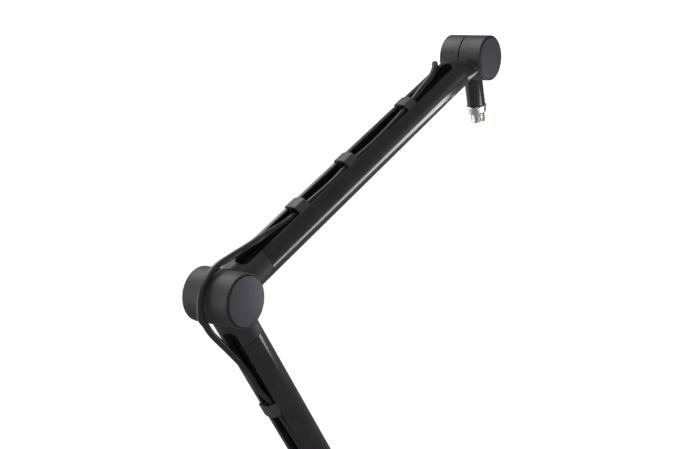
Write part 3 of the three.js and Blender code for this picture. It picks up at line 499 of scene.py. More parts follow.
def combined(base, others, operation):
    """base with the other meshes cut away or joined on."""
    body = bpy.data.objects.new("work", base)
    bpy.context.collection.objects.link(body)
    helpers = []
    for other in others:
        helper = bpy.data.objects.new("helper", other)
        bpy.context.collection.objects.link(helper)
        helpers.append(helper)
        modifier = body.modifiers.new("combine", "BOOLEAN")
        modifier.operation = operation
        modifier.solver = "MANIFOLD"
        modifier.object = helper
    seen = body.evaluated_get(bpy.context.evaluated_depsgraph_get())
    result = bpy.data.meshes.new_from_object(seen)
    for item in (body, *helpers):
        bpy.data.objects.remove(item)
    if not len(result.vertices):
        raise RuntimeError("a boolean left nothing")
    return result


def cut(base, *others):
    return combined(base, others, "DIFFERENCE")


def joined(base, *others):
    return combined(base, others, "UNION")


def piece(name, mesh, place, slot, body, nodes):
    """An object of the stand: mesh in a frame's millimetres, its finish, its body and its CAD nodes."""
    mesh.transform(Matrix.Scale(MM, 4) @ place)
    mesh.materials.clear()
    mesh.materials.append(FINISHES[slot])
    mesh.name = name
    mesh.shade_smooth()
    mesh.set_sharp_from_angle(angle=SHARP_ANGLE)
    thing = bpy.data.objects.new(name, mesh)
    bpy.context.collection.objects.link(thing)
    weighted = thing.modifiers.new("even_normals", "WEIGHTED_NORMAL")
    weighted.keep_sharp = True
    if body:
        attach(thing, body)
    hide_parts(*nodes)
    return thing


def skin(node, mesh, place, body):
    """The skin that stands for one CAD node, in that node's own finish."""
    return piece(f"{node}_skin", mesh, place, SLOTS[node], body, [node])


def merged(*meshes):
    """Several meshes as one, side by side."""
    work = bmesh.new()
    for mesh in meshes:
        work.from_mesh(mesh)
    result = bpy.data.meshes.new("shape")
    work.to_mesh(result)
    work.free()
    return result


# --- cords ---------------------------------------------------------------------------------------

def channel_point(place, point):
    """A point of an arm's channel in the stand's millimetres."""
    return place @ ROLL @ Vector(point)


def offset_points(origin, points):
    return [Vector(point) + origin for point in points]


def smooth_path(points, spacing=2.0):
    """A centripetal Catmull-Rom curve through the points, at an even spacing."""
    ends = [2 * points[0] - points[1], *points, 2 * points[-1] - points[-2]]
    fine = []
    for p0, p1, p2, p3 in zip(ends, ends[1:], ends[2:], ends[3:]):
        t1 = (p1 - p0).length ** 0.5
        t2 = t1 + (p2 - p1).length ** 0.5
        t3 = t2 + (p3 - p2).length ** 0.5
        steps = max(2, int((p2 - p1).length / 0.7))
        for step in range(steps):
            t = t1 + (t2 - t1) * step / steps
            a1 = p0 * (t1 - t) / t1 + p1 * t / t1
            a2 = p1 * (t2 - t) / (t2 - t1) + p2 * (t - t1) / (t2 - t1)
            a3 = p2 * (t3 - t) / (t3 - t2) + p3 * (t - t2) / (t3 - t2)
            b1 = a1 * (t2 - t) / t2 + a2 * t / t2
            b2 = a2 * (t3 - t) / (t3 - t1) + a3 * (t - t1) / (t3 - t1)
            fine.append(b1 * (t2 - t) / (t2 - t1) + b2 * (t - t1) / (t2 - t1))
    fine.append(points[-1])
    lengths = np.concatenate([[0], np.cumsum([(b - a).length for a, b in zip(fine, fine[1:])])])
    count = max(2, int(round(lengths[-1] / spacing)))
    spots = np.linspace(0, lengths[-1], count + 1)
    rows = np.array([list(point) for point in fine])
    return [Vector([np.interp(spot, lengths, rows[:, k]) for k in range(3)]) for spot in spots]


def tube_mesh(path, radius, sides=24):
    """A round tube with closed ends along a path, turned as little as possible on its way."""
    last = len(path) - 1
    tangents = [(path[min(i + 1, last)] - path[max(i - 1, 0)]).normalized() for i in range(last + 1)]
    side = tangents[0].orthogonal().normalized()
    points = []
    for index, (spot, tangent) in enumerate(zip(path, tangents)):
        if index:
            side = tangents[index - 1].rotation_difference(tangent) @ side
            side = (side - tangent * side.dot(tangent)).normalized()
        other = tangent.cross(side)
        for k in range(sides):
            turn = 2 * math.pi * k / sides
            points.append(spot + side * radius * math.cos(turn) + other * radius * math.sin(turn))
    ends = [list(range(sides)), list(range(len(points) - sides, len(points)))]
    return new_mesh(points, ends + strip_faces(len(path), sides))


def coil_path():
    """The coil's turns, clockwise from above: from its -Y side to its -X side, each turn in its slot."""
    points = []
    last = len(COIL_SLOTS) - 1
    for step in range(COIL_STEPS * last + COIL_STEPS // 4 + 1):
        turn = step / COIL_STEPS
        radius, height = COIL_SLOTS[0]
        for slot in range(last):
            change = min(1, max(0, (turn - slot - 0.85 + 0.1 * slot) / 0.15))
            share = change * change * (3 - 2 * change)
            radius += (COIL_SLOTS[slot + 1][0] - COIL_SLOTS[slot][0]) * share
            height += (COIL_SLOTS[slot + 1][1] - COIL_SLOTS[slot][1]) * share
        angle = -math.pi / 2 - turn * 2 * math.pi
        points.append(Vector((COIL_X + radius * math.cos(angle), radius * math.sin(angle), height)))
    return points


def make_cord(name, path, bodies, nodes, bend=None):
    """A length of the cable, on one body, or on no body when it runs between two."""
    body = bodies[0] if len(bodies) == 1 else None
    thing = piece(name, tube_mesh(path, CABLE_R), IDENTITY, "cable_jacket", body, nodes)
    if bend:
        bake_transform(thing)


# --- arms ----------------------------------------------------------------------------------------

def neck_share(x):
    """How far the upper arm's section at x has turned from round (0) to the drum's flat oval (1)."""
    share = min(1, max(0, (x - ARM + NECK_START) / (NECK_START - DRUM_R)))
    return share * share * (3 - 2 * share)


def neck_point(x, turn):
    """A point of the neck's outside at an angle from +Z to +Y, in the arm's own axes."""
    share = neck_share(x)
    wide = TUBE_R + (NECK_HALF_WIDTH - TUBE_R) * share
    high = TUBE_R + (NECK_HALF_HEIGHT - TUBE_R) * share
    return Vector((x, wide * math.sin(turn), high * math.cos(turn)))


def shell_ring(x, half, inset=0.0, steps=96):
    """One ring of an arm's outside at x: the round back, then the lips, walls and floor of the channel."""
    radius = TUBE_R - inset
    if half is None:
        edge, lip_out = 0, radius
    else:
        half = half + inset if half > 0 else 0
        lip = min(LIP, half)
        lip_out = math.sqrt((radius - lip) ** 2 - (half + lip) ** 2)
        edge = math.atan2(half + lip, lip_out)
    turns = [edge + (2 * math.pi - 2 * edge) * step / steps for step in range(steps + 1)]
    back = [(x, radius * math.sin(turn), radius * math.cos(turn)) for turn in turns]
    if half is None:
        if neck_share(x) > 0:
            back = [ROLL.inverted() @ neck_point(x, turn - CHANNEL_TURN) for turn in turns]
        return back, []
    foot = min(CHANNEL_FOOT, half)
    floor = CHANNEL_FLOOR - inset
    left = []
    for step in range(1, 7):
        turn = -edge + (math.pi / 2 + edge) * step / 6
        left.append((x, -(half + lip) + lip * math.sin(turn), lip_out + lip * math.cos(turn)))
    for step in range(5):
        turn = math.pi / 2 * step / 4
        left.append((x, -half + foot * (1 - math.cos(turn)), floor + foot * (1 - math.sin(turn))))
    right = [(x, -across, out) for x, across, out in reversed(left)]
    return back, left + right


def arm_shell(stations):
    """A closed arm skin through (x, half channel width, inset) stations; a width of None has no channel."""
    points, faces, rows = [], [], []
    for station in stations:
        back, channel = shell_ring(*station)
        first = len(points)
        points += back + channel
        rows.append((first, len(back), len(channel)))
    for (low, backs, channels), (high, _, next_channels) in zip(rows, rows[1:]):
        both = channels and next_channels
        count = backs + (channels if both else 0)
        for k in range(count if both else backs - 1):
            ahead = (k + 1) % count
            faces.append([low + k, low + ahead, high + ahead, high + k])
    for first, backs, channels in (rows[0], rows[-1]):
        faces.append(list(range(first, first + backs + channels)))
    mesh = new_mesh(points, faces)
    work = bmesh.new()
    work.from_mesh(mesh)
    bmesh.ops.triangulate(work, faces=[face for face in work.faces if len(face.verts) > 4])
    work.to_mesh(mesh)
    work.free()
    return moved(mesh, ROLL)


def slot_end(tip, reach):
    """Stations of a channel's round end, from its closed tip towards the open side."""
    result = []
    for step in range(13):
        turn = math.pi / 2 * step / 12
        inward = CHANNEL_HALF * (1 - math.cos(turn))
        result.append((tip + reach * inward, CHANNEL_HALF * math.sin(turn), 0.0))
    return result


def seam_end(x, reach):
    """Stations of an open end whose rim is eased; reach points out of the end."""
    eases = ((0.4, 0.0), (0.12, 0.12), (0, 0.4))
    return [(x - reach * back, CHANNEL_HALF, inset) for back, inset in eases]


def sleeve(seam, drum, own_side):
    """The part of a fitting that carries on the tube, cleared round the drum."""
    reach = math.copysign(1, seam)
    stations = [(0.0, None, 0.0), (reach * (SLOT_START - 0.01), None, 0.0)]
    stations += slot_end(reach * SLOT_START, reach) + seam_end(seam, reach)
    stations = stations if reach > 0 else stations[::-1]
    clear = (-40, drum["seam"] + SEAM_HALF) if own_side > 0 else (drum["seam"] - SEAM_HALF, 40)
    start, end = (-120, -FOLD_HALF_ANGLE) if reach > 0 else (180 + FOLD_HALF_ANGLE, 300)
    return cut(
        arm_shell(stations),
        disc(DRUM_R - 0.5, -41, 41),
        disc(DRUM_CLEAR_R, *clear),
        sector(1, 60, start, end, -42, 42),
    )


def near_half(drum, inside):
    """A near drum half: pocket, cap recess, thin rim, outside, seam face and what stands out of it."""
    face = drum["seam"] - SEAM_HALF
    near = drum["near"]
    return lathe([
        (BORE_R, near + POCKET_NEAR), (CAP_BORE_R, near + POCKET_NEAR), (CAP_BORE_R, near + CAP_RECESS, 0.3),
        (CAP_SEAT_R, near + CAP_RECESS), (CAP_SEAT_R, near, 0.5), (DRUM_R, near, 0.9), (DRUM_R, face, 0.5),
        *inside,
    ], closed=True)


def spool(drum):
    face = drum["seam"] - SEAM_HALF
    groove = drum["seam"] + SPOOL_Y
    return [
        (SPOOL_R, face), (SPOOL_R, groove - 1.7), (SPOOL_GROOVE_R, groove - 1.3),
        (SPOOL_GROOVE_R, groove + 1.3), (SPOOL_R, groove + 1.7), (SPOOL_R, groove + 3.6),
        (BORE_R, groove + 3.6),
    ]


def stem_root(drum):
    face = drum["seam"] - SEAM_HALF
    return [(STEM_ROOT_R, face), (STEM_ROOT_R, face + STEM_ROOT), (BORE_R, face + STEM_ROOT)]


def far_half(drum):
    """A far drum half, hollow on the seam side."""
    face = drum["seam"] + SEAM_HALF
    far = drum["far"]
    wall = drum["seam"] + FAR_BORE_DEPTH
    return lathe([
        (BORE_R, wall), (FAR_BORE_R, wall), (FAR_BORE_R, face), (DRUM_R, face, 0.5),
        (DRUM_R, far, 0.9), (CAP_SEAT_R, far, 0.5), (CAP_SEAT_R, far - CAP_RECESS),
        (CAP_BORE_R, far - CAP_RECESS, 0.3), (CAP_BORE_R, far - POCKET_FAR), (BORE_R, far - POCKET_FAR),
    ], closed=True)


def spring_line():
    return (SPRING_OUT * math.sin(CHANNEL_TURN), -SPRING_OUT * math.cos(CHANNEL_TURN))


def bottom_fitting(seam):
    """The fitting at an arm's lower end, with the hollow half of the drum and the wire's passage."""
    start = (-6, ELBOW_DRUM["seam"] + SPOOL_Y, SPOOL_WIRE_Z)
    wire = rod(WIRE_BORE_R, start, (84, *spring_line()), 32)
    return cut(joined(sleeve(seam, ELBOW_DRUM, 1), far_half(ELBOW_DRUM)), wire)


def elbow_fitting():
    """The lower arm's upper fitting, with the near half of the elbow drum."""
    return joined(sleeve(-LOWER_SLEEVE, ELBOW_DRUM, -1), near_half(ELBOW_DRUM, spool(ELBOW_DRUM)))


def cap(seat, side):
    """A domed cap with an eased rim that stands in a drum's end recess."""
    dome = [(CAP_R * 0.97 * share, CAP_RIM + CAP_DOME * (1 - share ** 2)) for share in np.linspace(0, 1, 14)]
    profile = [(0, 0), (CAP_R, 0), (CAP_R, CAP_RIM - 0.1, 0.5), *reversed(dome)]
    return lathe([(corner[0], seat + side * corner[1], *corner[2:]) for corner in profile])


def clip(station):
    """A cable clip: a band over the channel with a tab past the far lip, a ridge, and two legs inside."""
    lip = math.degrees(math.asin(CHANNEL_HALF / TUBE_R))
    start = 90 - lip - CLIP_TAB_TURN
    outer = [tuple(spot) for spot in arc_points(TUBE_R + CLIP_RISE, start, 90, 10)]
    inner = [tuple(spot) for spot in arc_points(TUBE_R + GAP, 90, start, 10)]
    near = GAP - CHANNEL_HALF
    edge = [(near, CLIP_EDGE_HIGH, 0.5), (near, CLIP_EDGE_LOW, 0.3)]
    band_outline = rounded([(*outer[0], 0.8)] + outer[1:-1] + [(*outer[-1], 0.6)] + edge + inner, True, 3)
    first, last = station - CLIP_LENGTH / 2, station + CLIP_LENGTH / 2
    parts = [prism(band_outline, first, last, 0.45, axis="X", steps=3)]
    for side in (-1, 1):
        low = side * (CHANNEL_HALF - GAP - CLIP_LEG / 2) - CLIP_LEG / 2
        top = TUBE_R if side > 0 else (CLIP_EDGE_LOW + CLIP_EDGE_HIGH) / 2
        parts.append(slab(first + 0.2, last - 0.2, low, low + CLIP_LEG, CLIP_FOOT, top, 0.3, 0.3))
    return moved(merged(*parts), ROLL)


def threaded(radius, start, end, pitch, depth, segments=96, rows=8):
    """A rod along +Y with a helical thread that fades at both ends, closed by flat faces."""
    levels = np.linspace(start, end, int((end - start) / pitch * rows) + 1)
    points = [(0, start, 0), (0, end, 0)]
    for level in levels:
        fade = min(1, (level - start) / pitch, (end - level) / pitch)
        for k in range(segments):
            turn = 2 * math.pi * k / segments
            phase = ((level - start) / pitch - k / segments) % 1
            reach = radius - depth * (abs(2 * phase - 1) * fade + (1 - fade))
            points.append((reach * math.cos(turn), level, reach * math.sin(turn)))
    faces = strip_faces(len(levels), segments, 2)
    last = 2 + (len(levels) - 1) * segments
    for k in range(segments):
        ahead = (k + 1) % segments
        faces.append([0, 2 + k, 2 + ahead])
        faces.append([1, last + k, last + ahead])
    return new_mesh(points, faces)


def head_end_cuts():
    """What the head drum's two halves and the neck's slit take from the upper tube."""
    slit = [neck_point(ARM - SLIT_START + SLIT_RUN * share, math.radians(SLIT_TURN + SLIT_SWEEP * share))
            for share in np.linspace(0, 1, 9)]
    return [
        moved(disc(DRUM_CLEAR_R + GAP, -41, HEAD_DRUM["seam"] + SEAM_HALF), ARM_END),
        moved(disc(DRUM_R + 0.05, -1, 41), ARM_END),
        tube_mesh(slit, SLIT_R, 12),
    ]


def make_arm(prefix, place, body, clips, stations, cuts):
    """The tube, lower fitting and clips that both arms have; the tube runs through the stations."""
    tube = cut(arm_shell(stations), *cuts)
    skin(f"{prefix}_tube", tube, place, body)
    fitting = "lower_base_fitting" if prefix == "lower" else "upper_elbow_fitting"
    skin(fitting, bottom_fitting(UPPER_SLEEVE), place, body)
    for index, station in enumerate(clips, 1):
        skin(f"{prefix}_cable_clip_{index}", clip(station), place, body)


def make_arms():
    start = seam_end(UPPER_SLEEVE + GAP, -1)[::-1]
    lower_stations = start + seam_end(ARM - LOWER_SLEEVE - GAP, 1)
    make_arm("lower", LOWER, "lower_arm", CLIP_STATIONS_LOWER, lower_stations, [])
    filled = ARM - HEAD_FILL
    upper_stations = start + slot_end(filled, -1)[::-1] + [(filled + 0.01, None, 0.0)]
    neck_length = NECK_START - NECK_END
    upper_stations += [(ARM - NECK_START + step, None, 0.0) for step in range(0, neck_length + 1, 2)]
    make_arm("upper", UPPER, "upper_arm", CLIP_STATIONS_UPPER, upper_stations, head_end_cuts())
    skin("lower_elbow_fitting", elbow_fitting(), LOWER @ ARM_END, "lower_arm")
    swing = UPPER_ANGLE - STEM_ANGLE
    start, end = STEM_LIMITS[0] - NOTCH_MARGIN - swing, STEM_LIMITS[1] + NOTCH_MARGIN - swing
    notch = sector(17, 30, start, end, HEAD_DRUM["seam"] - 2, STEM_R + 1.2)
    skin("upper_head_fitting", cut(far_half(HEAD_DRUM), notch), UPPER @ ARM_END, "upper_arm")


def make_caps():
    for prefix, place, drum, near_body, far_body in (
        ("base", BASE_HINGE, ELBOW_DRUM, "swivel", "lower_arm"),
        ("elbow", ELBOW_HINGE, ELBOW_DRUM, "lower_arm", "upper_arm"),
        ("head", HEAD_HINGE, HEAD_DRUM, "head", "upper_arm"),
    ):
        near = cap(drum["near"] + CAP_RECESS, -1)
        far = cap(drum["far"] - CAP_RECESS, 1)
        skin(f"{prefix}_cap_near", near, place, near_body)
        skin(f"{prefix}_cap_far", far, place, far_body)


def make_stem():
    socket = rod(STEM_R + 0.3, (STEM_FROM - 0.4, 0, 0), (40, 0, 0), ROUND)
    knuckle = cut(near_half(HEAD_DRUM, stem_root(HEAD_DRUM)), socket)
    skin("head_knuckle", knuckle, STEM, "head")
    tube = lathe([(0, STEM_FROM), (STEM_R, STEM_FROM, 0.3), (STEM_R, STEM_END, 0.6), (7.8, STEM_END),
                  (7.8, STEM_FROM + 8), (0, STEM_FROM + 8)])
    skin("mic_stem", tube, STEM @ Y_TO_X, "head")
    collar = lathe([
        (0, STEM_END - 8), (7.5, STEM_END - 8), (7.5, STEM_END + GAP), (COLLAR_R, STEM_END + GAP, 0.9),
        (COLLAR_R, STEM_END + 3, 0.4), (COLLAR_R - 0.7, STEM_END + 3.4, 0.3),
        (COLLAR_R - 0.7, COLLAR_END - 1.9, 0.4),
        (NOSE_R + 1.2, COLLAR_END, 0.4), (NOSE_R - 0.9, COLLAR_END), (NOSE_R - 0.9, COLLAR_END - 0.5),
        (0, COLLAR_END - 0.5),
    ])
    nose = threaded(NOSE_R, COLLAR_END - 0.4, NOSE_END, NOSE_PITCH, 0.5)
    recess = lathe([(0, NOSE_END - 3), (4.75, NOSE_END - 3), (5.15, NOSE_END + 0.1), (5.15, NOSE_END + 1),
                    (0, NOSE_END + 1)])
    adapter = cut(joined(collar, nose), recess)
    skin("thread_adapter", adapter, STEM @ Y_TO_X, "head")


# --- clamp and swivel base -----------------------------------------------------------------------

def clamp_frame():
    half = JAW_WIDTH / 2
    outline = rounded([
        (JAW_TIP, JAW_BOTTOM, 1.2), (SPINE_INNER, JAW_BOTTOM, 4), (SPINE_INNER, LOW_JAW_TOP, 4),
        (JAW_TIP + 12, LOW_JAW_TOP, 1.2), (JAW_TIP + 12, LOW_JAW_BOTTOM, 1.2),
        (SPINE_OUTER, LOW_JAW_BOTTOM, 9), (SPINE_OUTER, JAW_TOP, 9), (JAW_TIP, JAW_TOP, 4),
    ], True, 8)
    rim = SOCKET_TOP - 0.6
    socket = lathe([(0, JAW_TOP - 1), (SOCKET_R, JAW_TOP - 1), (SOCKET_R, rim, 0.8), (0, rim)])
    low, high = LOW_JAW_BOTTOM - 5, LOW_JAW_TOP + 5
    boss = lathe([(0, low), (13, low, 1), (13, high, 1), (0, high)])
    body = joined(prism(outline, -half, half, 1.6, axis="Y"), moved(socket, Y_TO_Z),
                  moved(boss, Matrix.Translation((SCREW_X, 0, 0)) @ Y_TO_Z))
    return cut(body, rod(POST_R + 2, (0, 0, POST_BOTTOM - 1.5), (0, 0, SOCKET_TOP + 1)),
               rod(SCREW_R + 0.1, (SCREW_X, 0, -90), (SCREW_X, 0, -50)),
               rod(LOCK_SCREW_R + 0.1, (0, -30, LOCK_Z), (0, 0, LOCK_Z)))


def lobed_knob(radius, lobes, low, high, edge):
    """A knob with scalloped sides and well rounded rims, on the Z axis."""
    outline = []
    for step in range(lobes * 16):
        turn = step / (lobes * 16) * 2 * math.pi
        reach = radius * (0.93 + 0.07 * math.cos(lobes * turn))
        outline.append(Vector((reach * math.cos(turn), reach * math.sin(turn))))
    return prism(outline, low, high, edge, steps=6)


def make_clamp():
    half = JAW_WIDTH / 2
    skin("clamp_frame", clamp_frame(), IDENTITY, "clamp")
    pad = slab(JAW_TIP + 3, SPINE_INNER - 6, -half + 2, half - 2, 0, JAW_BOTTOM, 0.4, 2)
    grooves = [slab(x, x + 1.2, -half, half, -1, 0.7) for x in np.arange(JAW_TIP + 9, SPINE_INNER - 12, 6)
               if abs(x + 0.6) > 4]
    skin("clamp_top_pad", cut(pad, *grooves), IDENTITY, "clamp")
    bush = lathe([
        (POST_R + 0.08, POST_BOTTOM), (POST_R + 1.9, POST_BOTTOM), (POST_R + 1.9, SOCKET_TOP - 0.5),
        (POST_R + 6, SOCKET_TOP - 0.5, 0.3), (POST_R + 6, SOCKET_TOP + 1.4, 0.5),
        (POST_R + 0.08, SOCKET_TOP + 1.4, 0.3),
    ], closed=True)
    opening = rod(LOCK_SCREW_R + 0.4, (0, -30, LOCK_Z), (0, 0, LOCK_Z))
    skin("socket_bush", cut(moved(bush, Y_TO_Z), opening), IDENTITY, "clamp")


def make_clamp_screw():
    place = Matrix.Translation((SCREW_X, 0, 0))
    thread = threaded(SCREW_R, SCREW_BOTTOM, PAD_TOP - 9, SCREW_PITCH, 0.9, rows=12)
    tip = lathe([(0, PAD_TOP - 9.4), (4.5, PAD_TOP - 9.4), (4.5, PAD_TOP - 5, 0.6), (0, PAD_TOP - 5)])
    skin("clamp_screw", moved(joined(thread, tip), Y_TO_Z), place, "clamp_screw")
    knob = lobed_knob(CLAMP_KNOB_R, 7, SCREW_BOTTOM - 6, SCREW_BOTTOM + 12, 3)
    low, high = SCREW_BOTTOM - 7, SCREW_BOTTOM - 4.8
    dish = lathe([(0, low), (12, low), (11, high, 0.8), (0, high)])
    bore = rod(SCREW_R + 0.1, (0, 0, SCREW_BOTTOM - 0.1), (0, 0, SCREW_BOTTOM + 20))
    skin("clamp_knob", cut(knob, moved(dish, Y_TO_Z), bore), place, "clamp_screw")
    plate = lathe([
        (0, PAD_TOP - 4.7), (4.8, PAD_TOP - 4.7), (4.8, PAD_TOP - 7.6), (8, PAD_TOP - 7.6, 0.8),
        (17, PAD_TOP - 4.6, 0.8), (17, PAD_TOP - 2, 0.8), (0, PAD_TOP - 2),
    ])
    skin("pressure_plate", moved(plate, Y_TO_Z), place, "clamp_pad")
    pad = lathe([(0, PAD_TOP - 2), (16, PAD_TOP - 2), (16, PAD_TOP, 0.7), (0, PAD_TOP)])
    rings = lathe([(r, PAD_TOP + 1) if k in (0, 3) else (r, PAD_TOP - 0.5)
                   for k, r in enumerate((9, 9, 10, 10))], closed=True)
    skin("pressure_pad", moved(cut(pad, rings), Y_TO_Z), place, "clamp_pad")


def make_post_lock():
    groove = POST_R - 1.2
    tip = groove + GAP
    screw = lathe([(0, tip), (LOCK_SCREW_R, tip, 0.8), (LOCK_SCREW_R, 34), (0, 34)], 64)
    screw = moved(screw, Matrix.Rotation(math.pi, 4, "Z"))
    skin("post_lock_screw", screw, Matrix.Translation((0, 0, LOCK_Z)), "post_lock")
    knob = moved(lobed_knob(LOCK_KNOB_R, 5, 0, 14, 2.2), Matrix.Translation((0, -22, LOCK_Z)) @ Y_TO_Z)
    bore = rod(LOCK_SCREW_R + 0.1, (0, -34.1, LOCK_Z), (0, -20, LOCK_Z))
    skin("post_lock_knob", cut(knob, bore), IDENTITY, "post_lock")


def make_swivel():
    foot = SOCKET_TOP + 1.4
    neck = lathe([
        (0, foot), (SOCKET_R + 0.7, foot, 0.9), (SOCKET_R + 0.7, foot + 7, 0.6), (TUBE_R - 1.6, foot + 9, 3),
        (TUBE_R - 1.6, BASE_AT.z), (0, BASE_AT.z),
    ])
    neck = moved(neck, Matrix.Translation((0, 0, -BASE_AT.z)) @ Y_TO_Z)
    neck = cut(neck, disc(DRUM_R - 0.5, -41, 41), disc(DRUM_CLEAR_R, ELBOW_DRUM["seam"] - SEAM_HALF, 41))
    knuckle = joined(neck, near_half(ELBOW_DRUM, spool(ELBOW_DRUM)))
    bore = rod(POST_R + 0.3, (0, 0, 40 - BASE_AT.z), (0, 0, SOCKET_TOP + 14.1 - BASE_AT.z))
    skin("base_knuckle", cut(knuckle, bore), BASE_HINGE, "swivel")
    low, high = SOCKET_TOP + 3.4, SOCKET_TOP + 7.6
    inner = SOCKET_R + 1.1
    x, y = BASE_ROUTE[BAND_INDEX][:2]
    ring = lathe([(0, low), (inner + 1.6, low, 0.5), (inner + 1.6, high, 0.5), (0, high)])
    loop = lathe([(0, low), (CABLE_R + 2.2, low, 0.5), (CABLE_R + 2.2, high, 0.5), (0, high)], 64)
    band = joined(moved(ring, Y_TO_Z), moved(loop, Matrix.Translation((x, y, 0)) @ Y_TO_Z))
    band = cut(band, rod(inner, (0, 0, low - 1), (0, 0, high + 1), ROUND),
               rod(CABLE_R + 0.5, (x, y, low - 1), (x, y, high + 1), 48))
    skin("base_cable_band", band, IDENTITY, "swivel")


# --- connectors, strap and cable -----------------------------------------------------------------

def make_connector(prefix, tip, direction, body, has_pins):
    """A cable connector along its frame's +X: ribbed boot, shell with a knurled grip, and contact insert."""
    place = frame_pointing(tip, direction)
    boot_corners = [(0, GAP), (4.2, GAP, 0.6)]
    for rib in range(6):
        at = GAP + 1.4 + rib * 1.5
        radius = 4.5 + rib * 0.5
        boot_corners += [(radius, at, 0.2), (radius, at + 0.9, 0.2)]
        boot_corners += [(radius - 0.6, at + 1.0), (radius - 0.6, at + 1.4)]
    boot_corners += [(7.6, BOOT_LENGTH - 3, 0.5), (7.9, BOOT_LENGTH, 0.3), (0, BOOT_LENGTH)]
    boot = lathe(boot_corners, 64)
    boot = skin(f"{prefix}_boot", boot, place @ Y_TO_X, body)
    start = BOOT_LENGTH + GAP
    end = start + SHELL_LENGTH
    hollow = 17 if has_pins else 3
    corners = [(0, start), (SHELL_R - 0.5, start, 0.6), (SHELL_R - 0.2, start + 3)]
    for groove in range(5):
        at = start + 4 + groove * 1.6
        corners += [(SHELL_R - 0.1, at), (SHELL_R - 0.6, at + 0.3)]
        corners += [(SHELL_R - 0.6, at + 0.6), (SHELL_R - 0.1, at + 0.9)]
    corners += [(SHELL_R, start + 14), (SHELL_R, end, 0.6), (SHELL_R - 1.3, end, 0.3)]
    corners += [(SHELL_R - 1.3, end - hollow), (0, end - hollow)]
    shell = lathe(corners, 96)
    shell = skin(f"{prefix}_shell", shell, place @ Y_TO_X, body)
    seat = end - hollow + GAP
    front = seat + 4 if has_pins else end - 0.4
    insert = lathe([(0, seat), (SHELL_R - 1.6, seat), (SHELL_R - 1.6, front, 0.4), (0, front)], 64)
    insert = moved(insert, Y_TO_X)
    contacts = []
    for turn in (30, 150, 270):
        y, z = 4.8 * math.cos(math.radians(turn)), 4.8 * math.sin(math.radians(turn))
        low, high = (front - 1, end - 1.5) if has_pins else (seat + 1, end)
        contacts.append(rod(1.2 if has_pins else 1.3, (low, y, z), (high, y, z), 24))
    insert = joined(insert, *contacts) if has_pins else cut(insert, *contacts)
    core = skin(f"{prefix}_insert", insert, place, body)
    return [boot, shell, core]


def make_strap():
    """The strap round one side of the coil, with rounded corners."""
    low, high = COIL_INNER - 3, COIL_OUTER + 1.9
    outer = rounded([(low, 0, 3), (high, 0, 3), (high, COIL_TOP + 1.7, 3), (low, COIL_TOP + 1.7, 3)], True)
    inner = rounded([(low + 1.4, 1.2, 2), (high - 1.4, 1.2, 2), (high - 1.4, COIL_TOP + 0.4, 2),
                     (low + 1.4, COIL_TOP + 0.4, 2)], True)
    strap = cut(prism(outer, COIL_X - 7, COIL_X + 7, 0.4, axis="X"),
                prism(inner, COIL_X - 8, COIL_X + 8, axis="X"))
    return skin("coil_strap", strap, IDENTITY, "clamp")


def make_cable():
    """The cable: upper run and tail, elbow loop, lower run, and base loop, coil and lead."""
    lower = [channel_point(LOWER, point) for point in CHANNEL_ROUTE_LOWER]
    upper = [channel_point(UPPER, point) for point in CHANNEL_ROUTE_UPPER]
    tail = smooth_path(upper + offset_points(HEAD_AT, TAIL_ROUTE))
    connector = make_connector("mic_connector", tail[-1], STEM_DIRECTION, "upper_arm", False)
    make_cord("cable_upper_skin", tail, ["upper_arm"], ["cable_upper"])
    loop = [channel_point(LOWER, point) for point in ELBOW_ROUTE_START]
    loop += offset_points(ELBOW_AT, ELBOW_ROUTE)
    loop += [channel_point(UPPER, point) for point in ELBOW_ROUTE_END]
    loop = smooth_path(loop)
    make_cord("cable_elbow_skin", loop, ["lower_arm", "upper_arm"], ["cable_elbow"],
              bend=(ELBOW_AT + Vector((0, 0, -42)), ELBOW_AT + Vector((0, 0, 30))))
    make_cord("cable_lower_skin", smooth_path(lower), ["lower_arm"], ["cable_lower"])
    drop = [channel_point(LOWER, point) for point in BASE_ROUTE_START]
    drop += offset_points(Vector(), BASE_ROUTE[:BAND_INDEX])
    band = Vector(BASE_ROUTE[BAND_INDEX])
    make_cord("cable_drop_skin", smooth_path(drop + [band]), ["swivel", "lower_arm"], ["cable_base"],
              bend=(band + Vector((0, 0, 8)), drop[2]))
    lead = offset_points(Vector(), LEAD_ROUTE)
    plug = make_connector("line_connector", lead[-1], (0, -1, 0), "clamp", True)
    strap = make_strap()
    store = [band] + offset_points(Vector(), BASE_ROUTE[BAND_INDEX + 1:] + COIL_ENTRY) + coil_path()
    store += offset_points(Vector(), COIL_EXIT) + lead
    make_cord("cable_store_skin", smooth_path(store), ["swivel", "clamp"], ["cable_coil", "cable_lead"],
              bend=(band, Vector((-60, -7, 18))))


# --- the parts that stay as packed ---------------------------------------------------------------

def finish_packed_nodes():
    """Gives each CAD node that still shows its procedural finish."""
    for name, node in frame["nodes"].items():
        node.data.materials.clear()
        node.data.materials.append(FINISHES[SLOTS[name]])


# --- camera, stage and light ---------------------------------------------------------------------

def make_camera():
    camera = bpy.data.cameras.new("camera")
    camera.sensor_width = SENSOR
    camera.lens = CAMERA_LENS
    camera.clip_start = 0.05
    camera.clip_end = 100
    holder = bpy.data.objects.new("camera", camera)
    bpy.context.collection.objects.link(holder)
    right = CAMERA_RIGHT.normalized()
    back = right.cross(CAMERA_UP).normalized()
    up = back.cross(right)
    turn = Matrix((right, up, back)).transposed().to_4x4()
    holder.matrix_world = Matrix.Translation((ELBOW_AT + CAMERA_OFFSET) * MM) @ turn
    bpy.context.scene.camera = holder


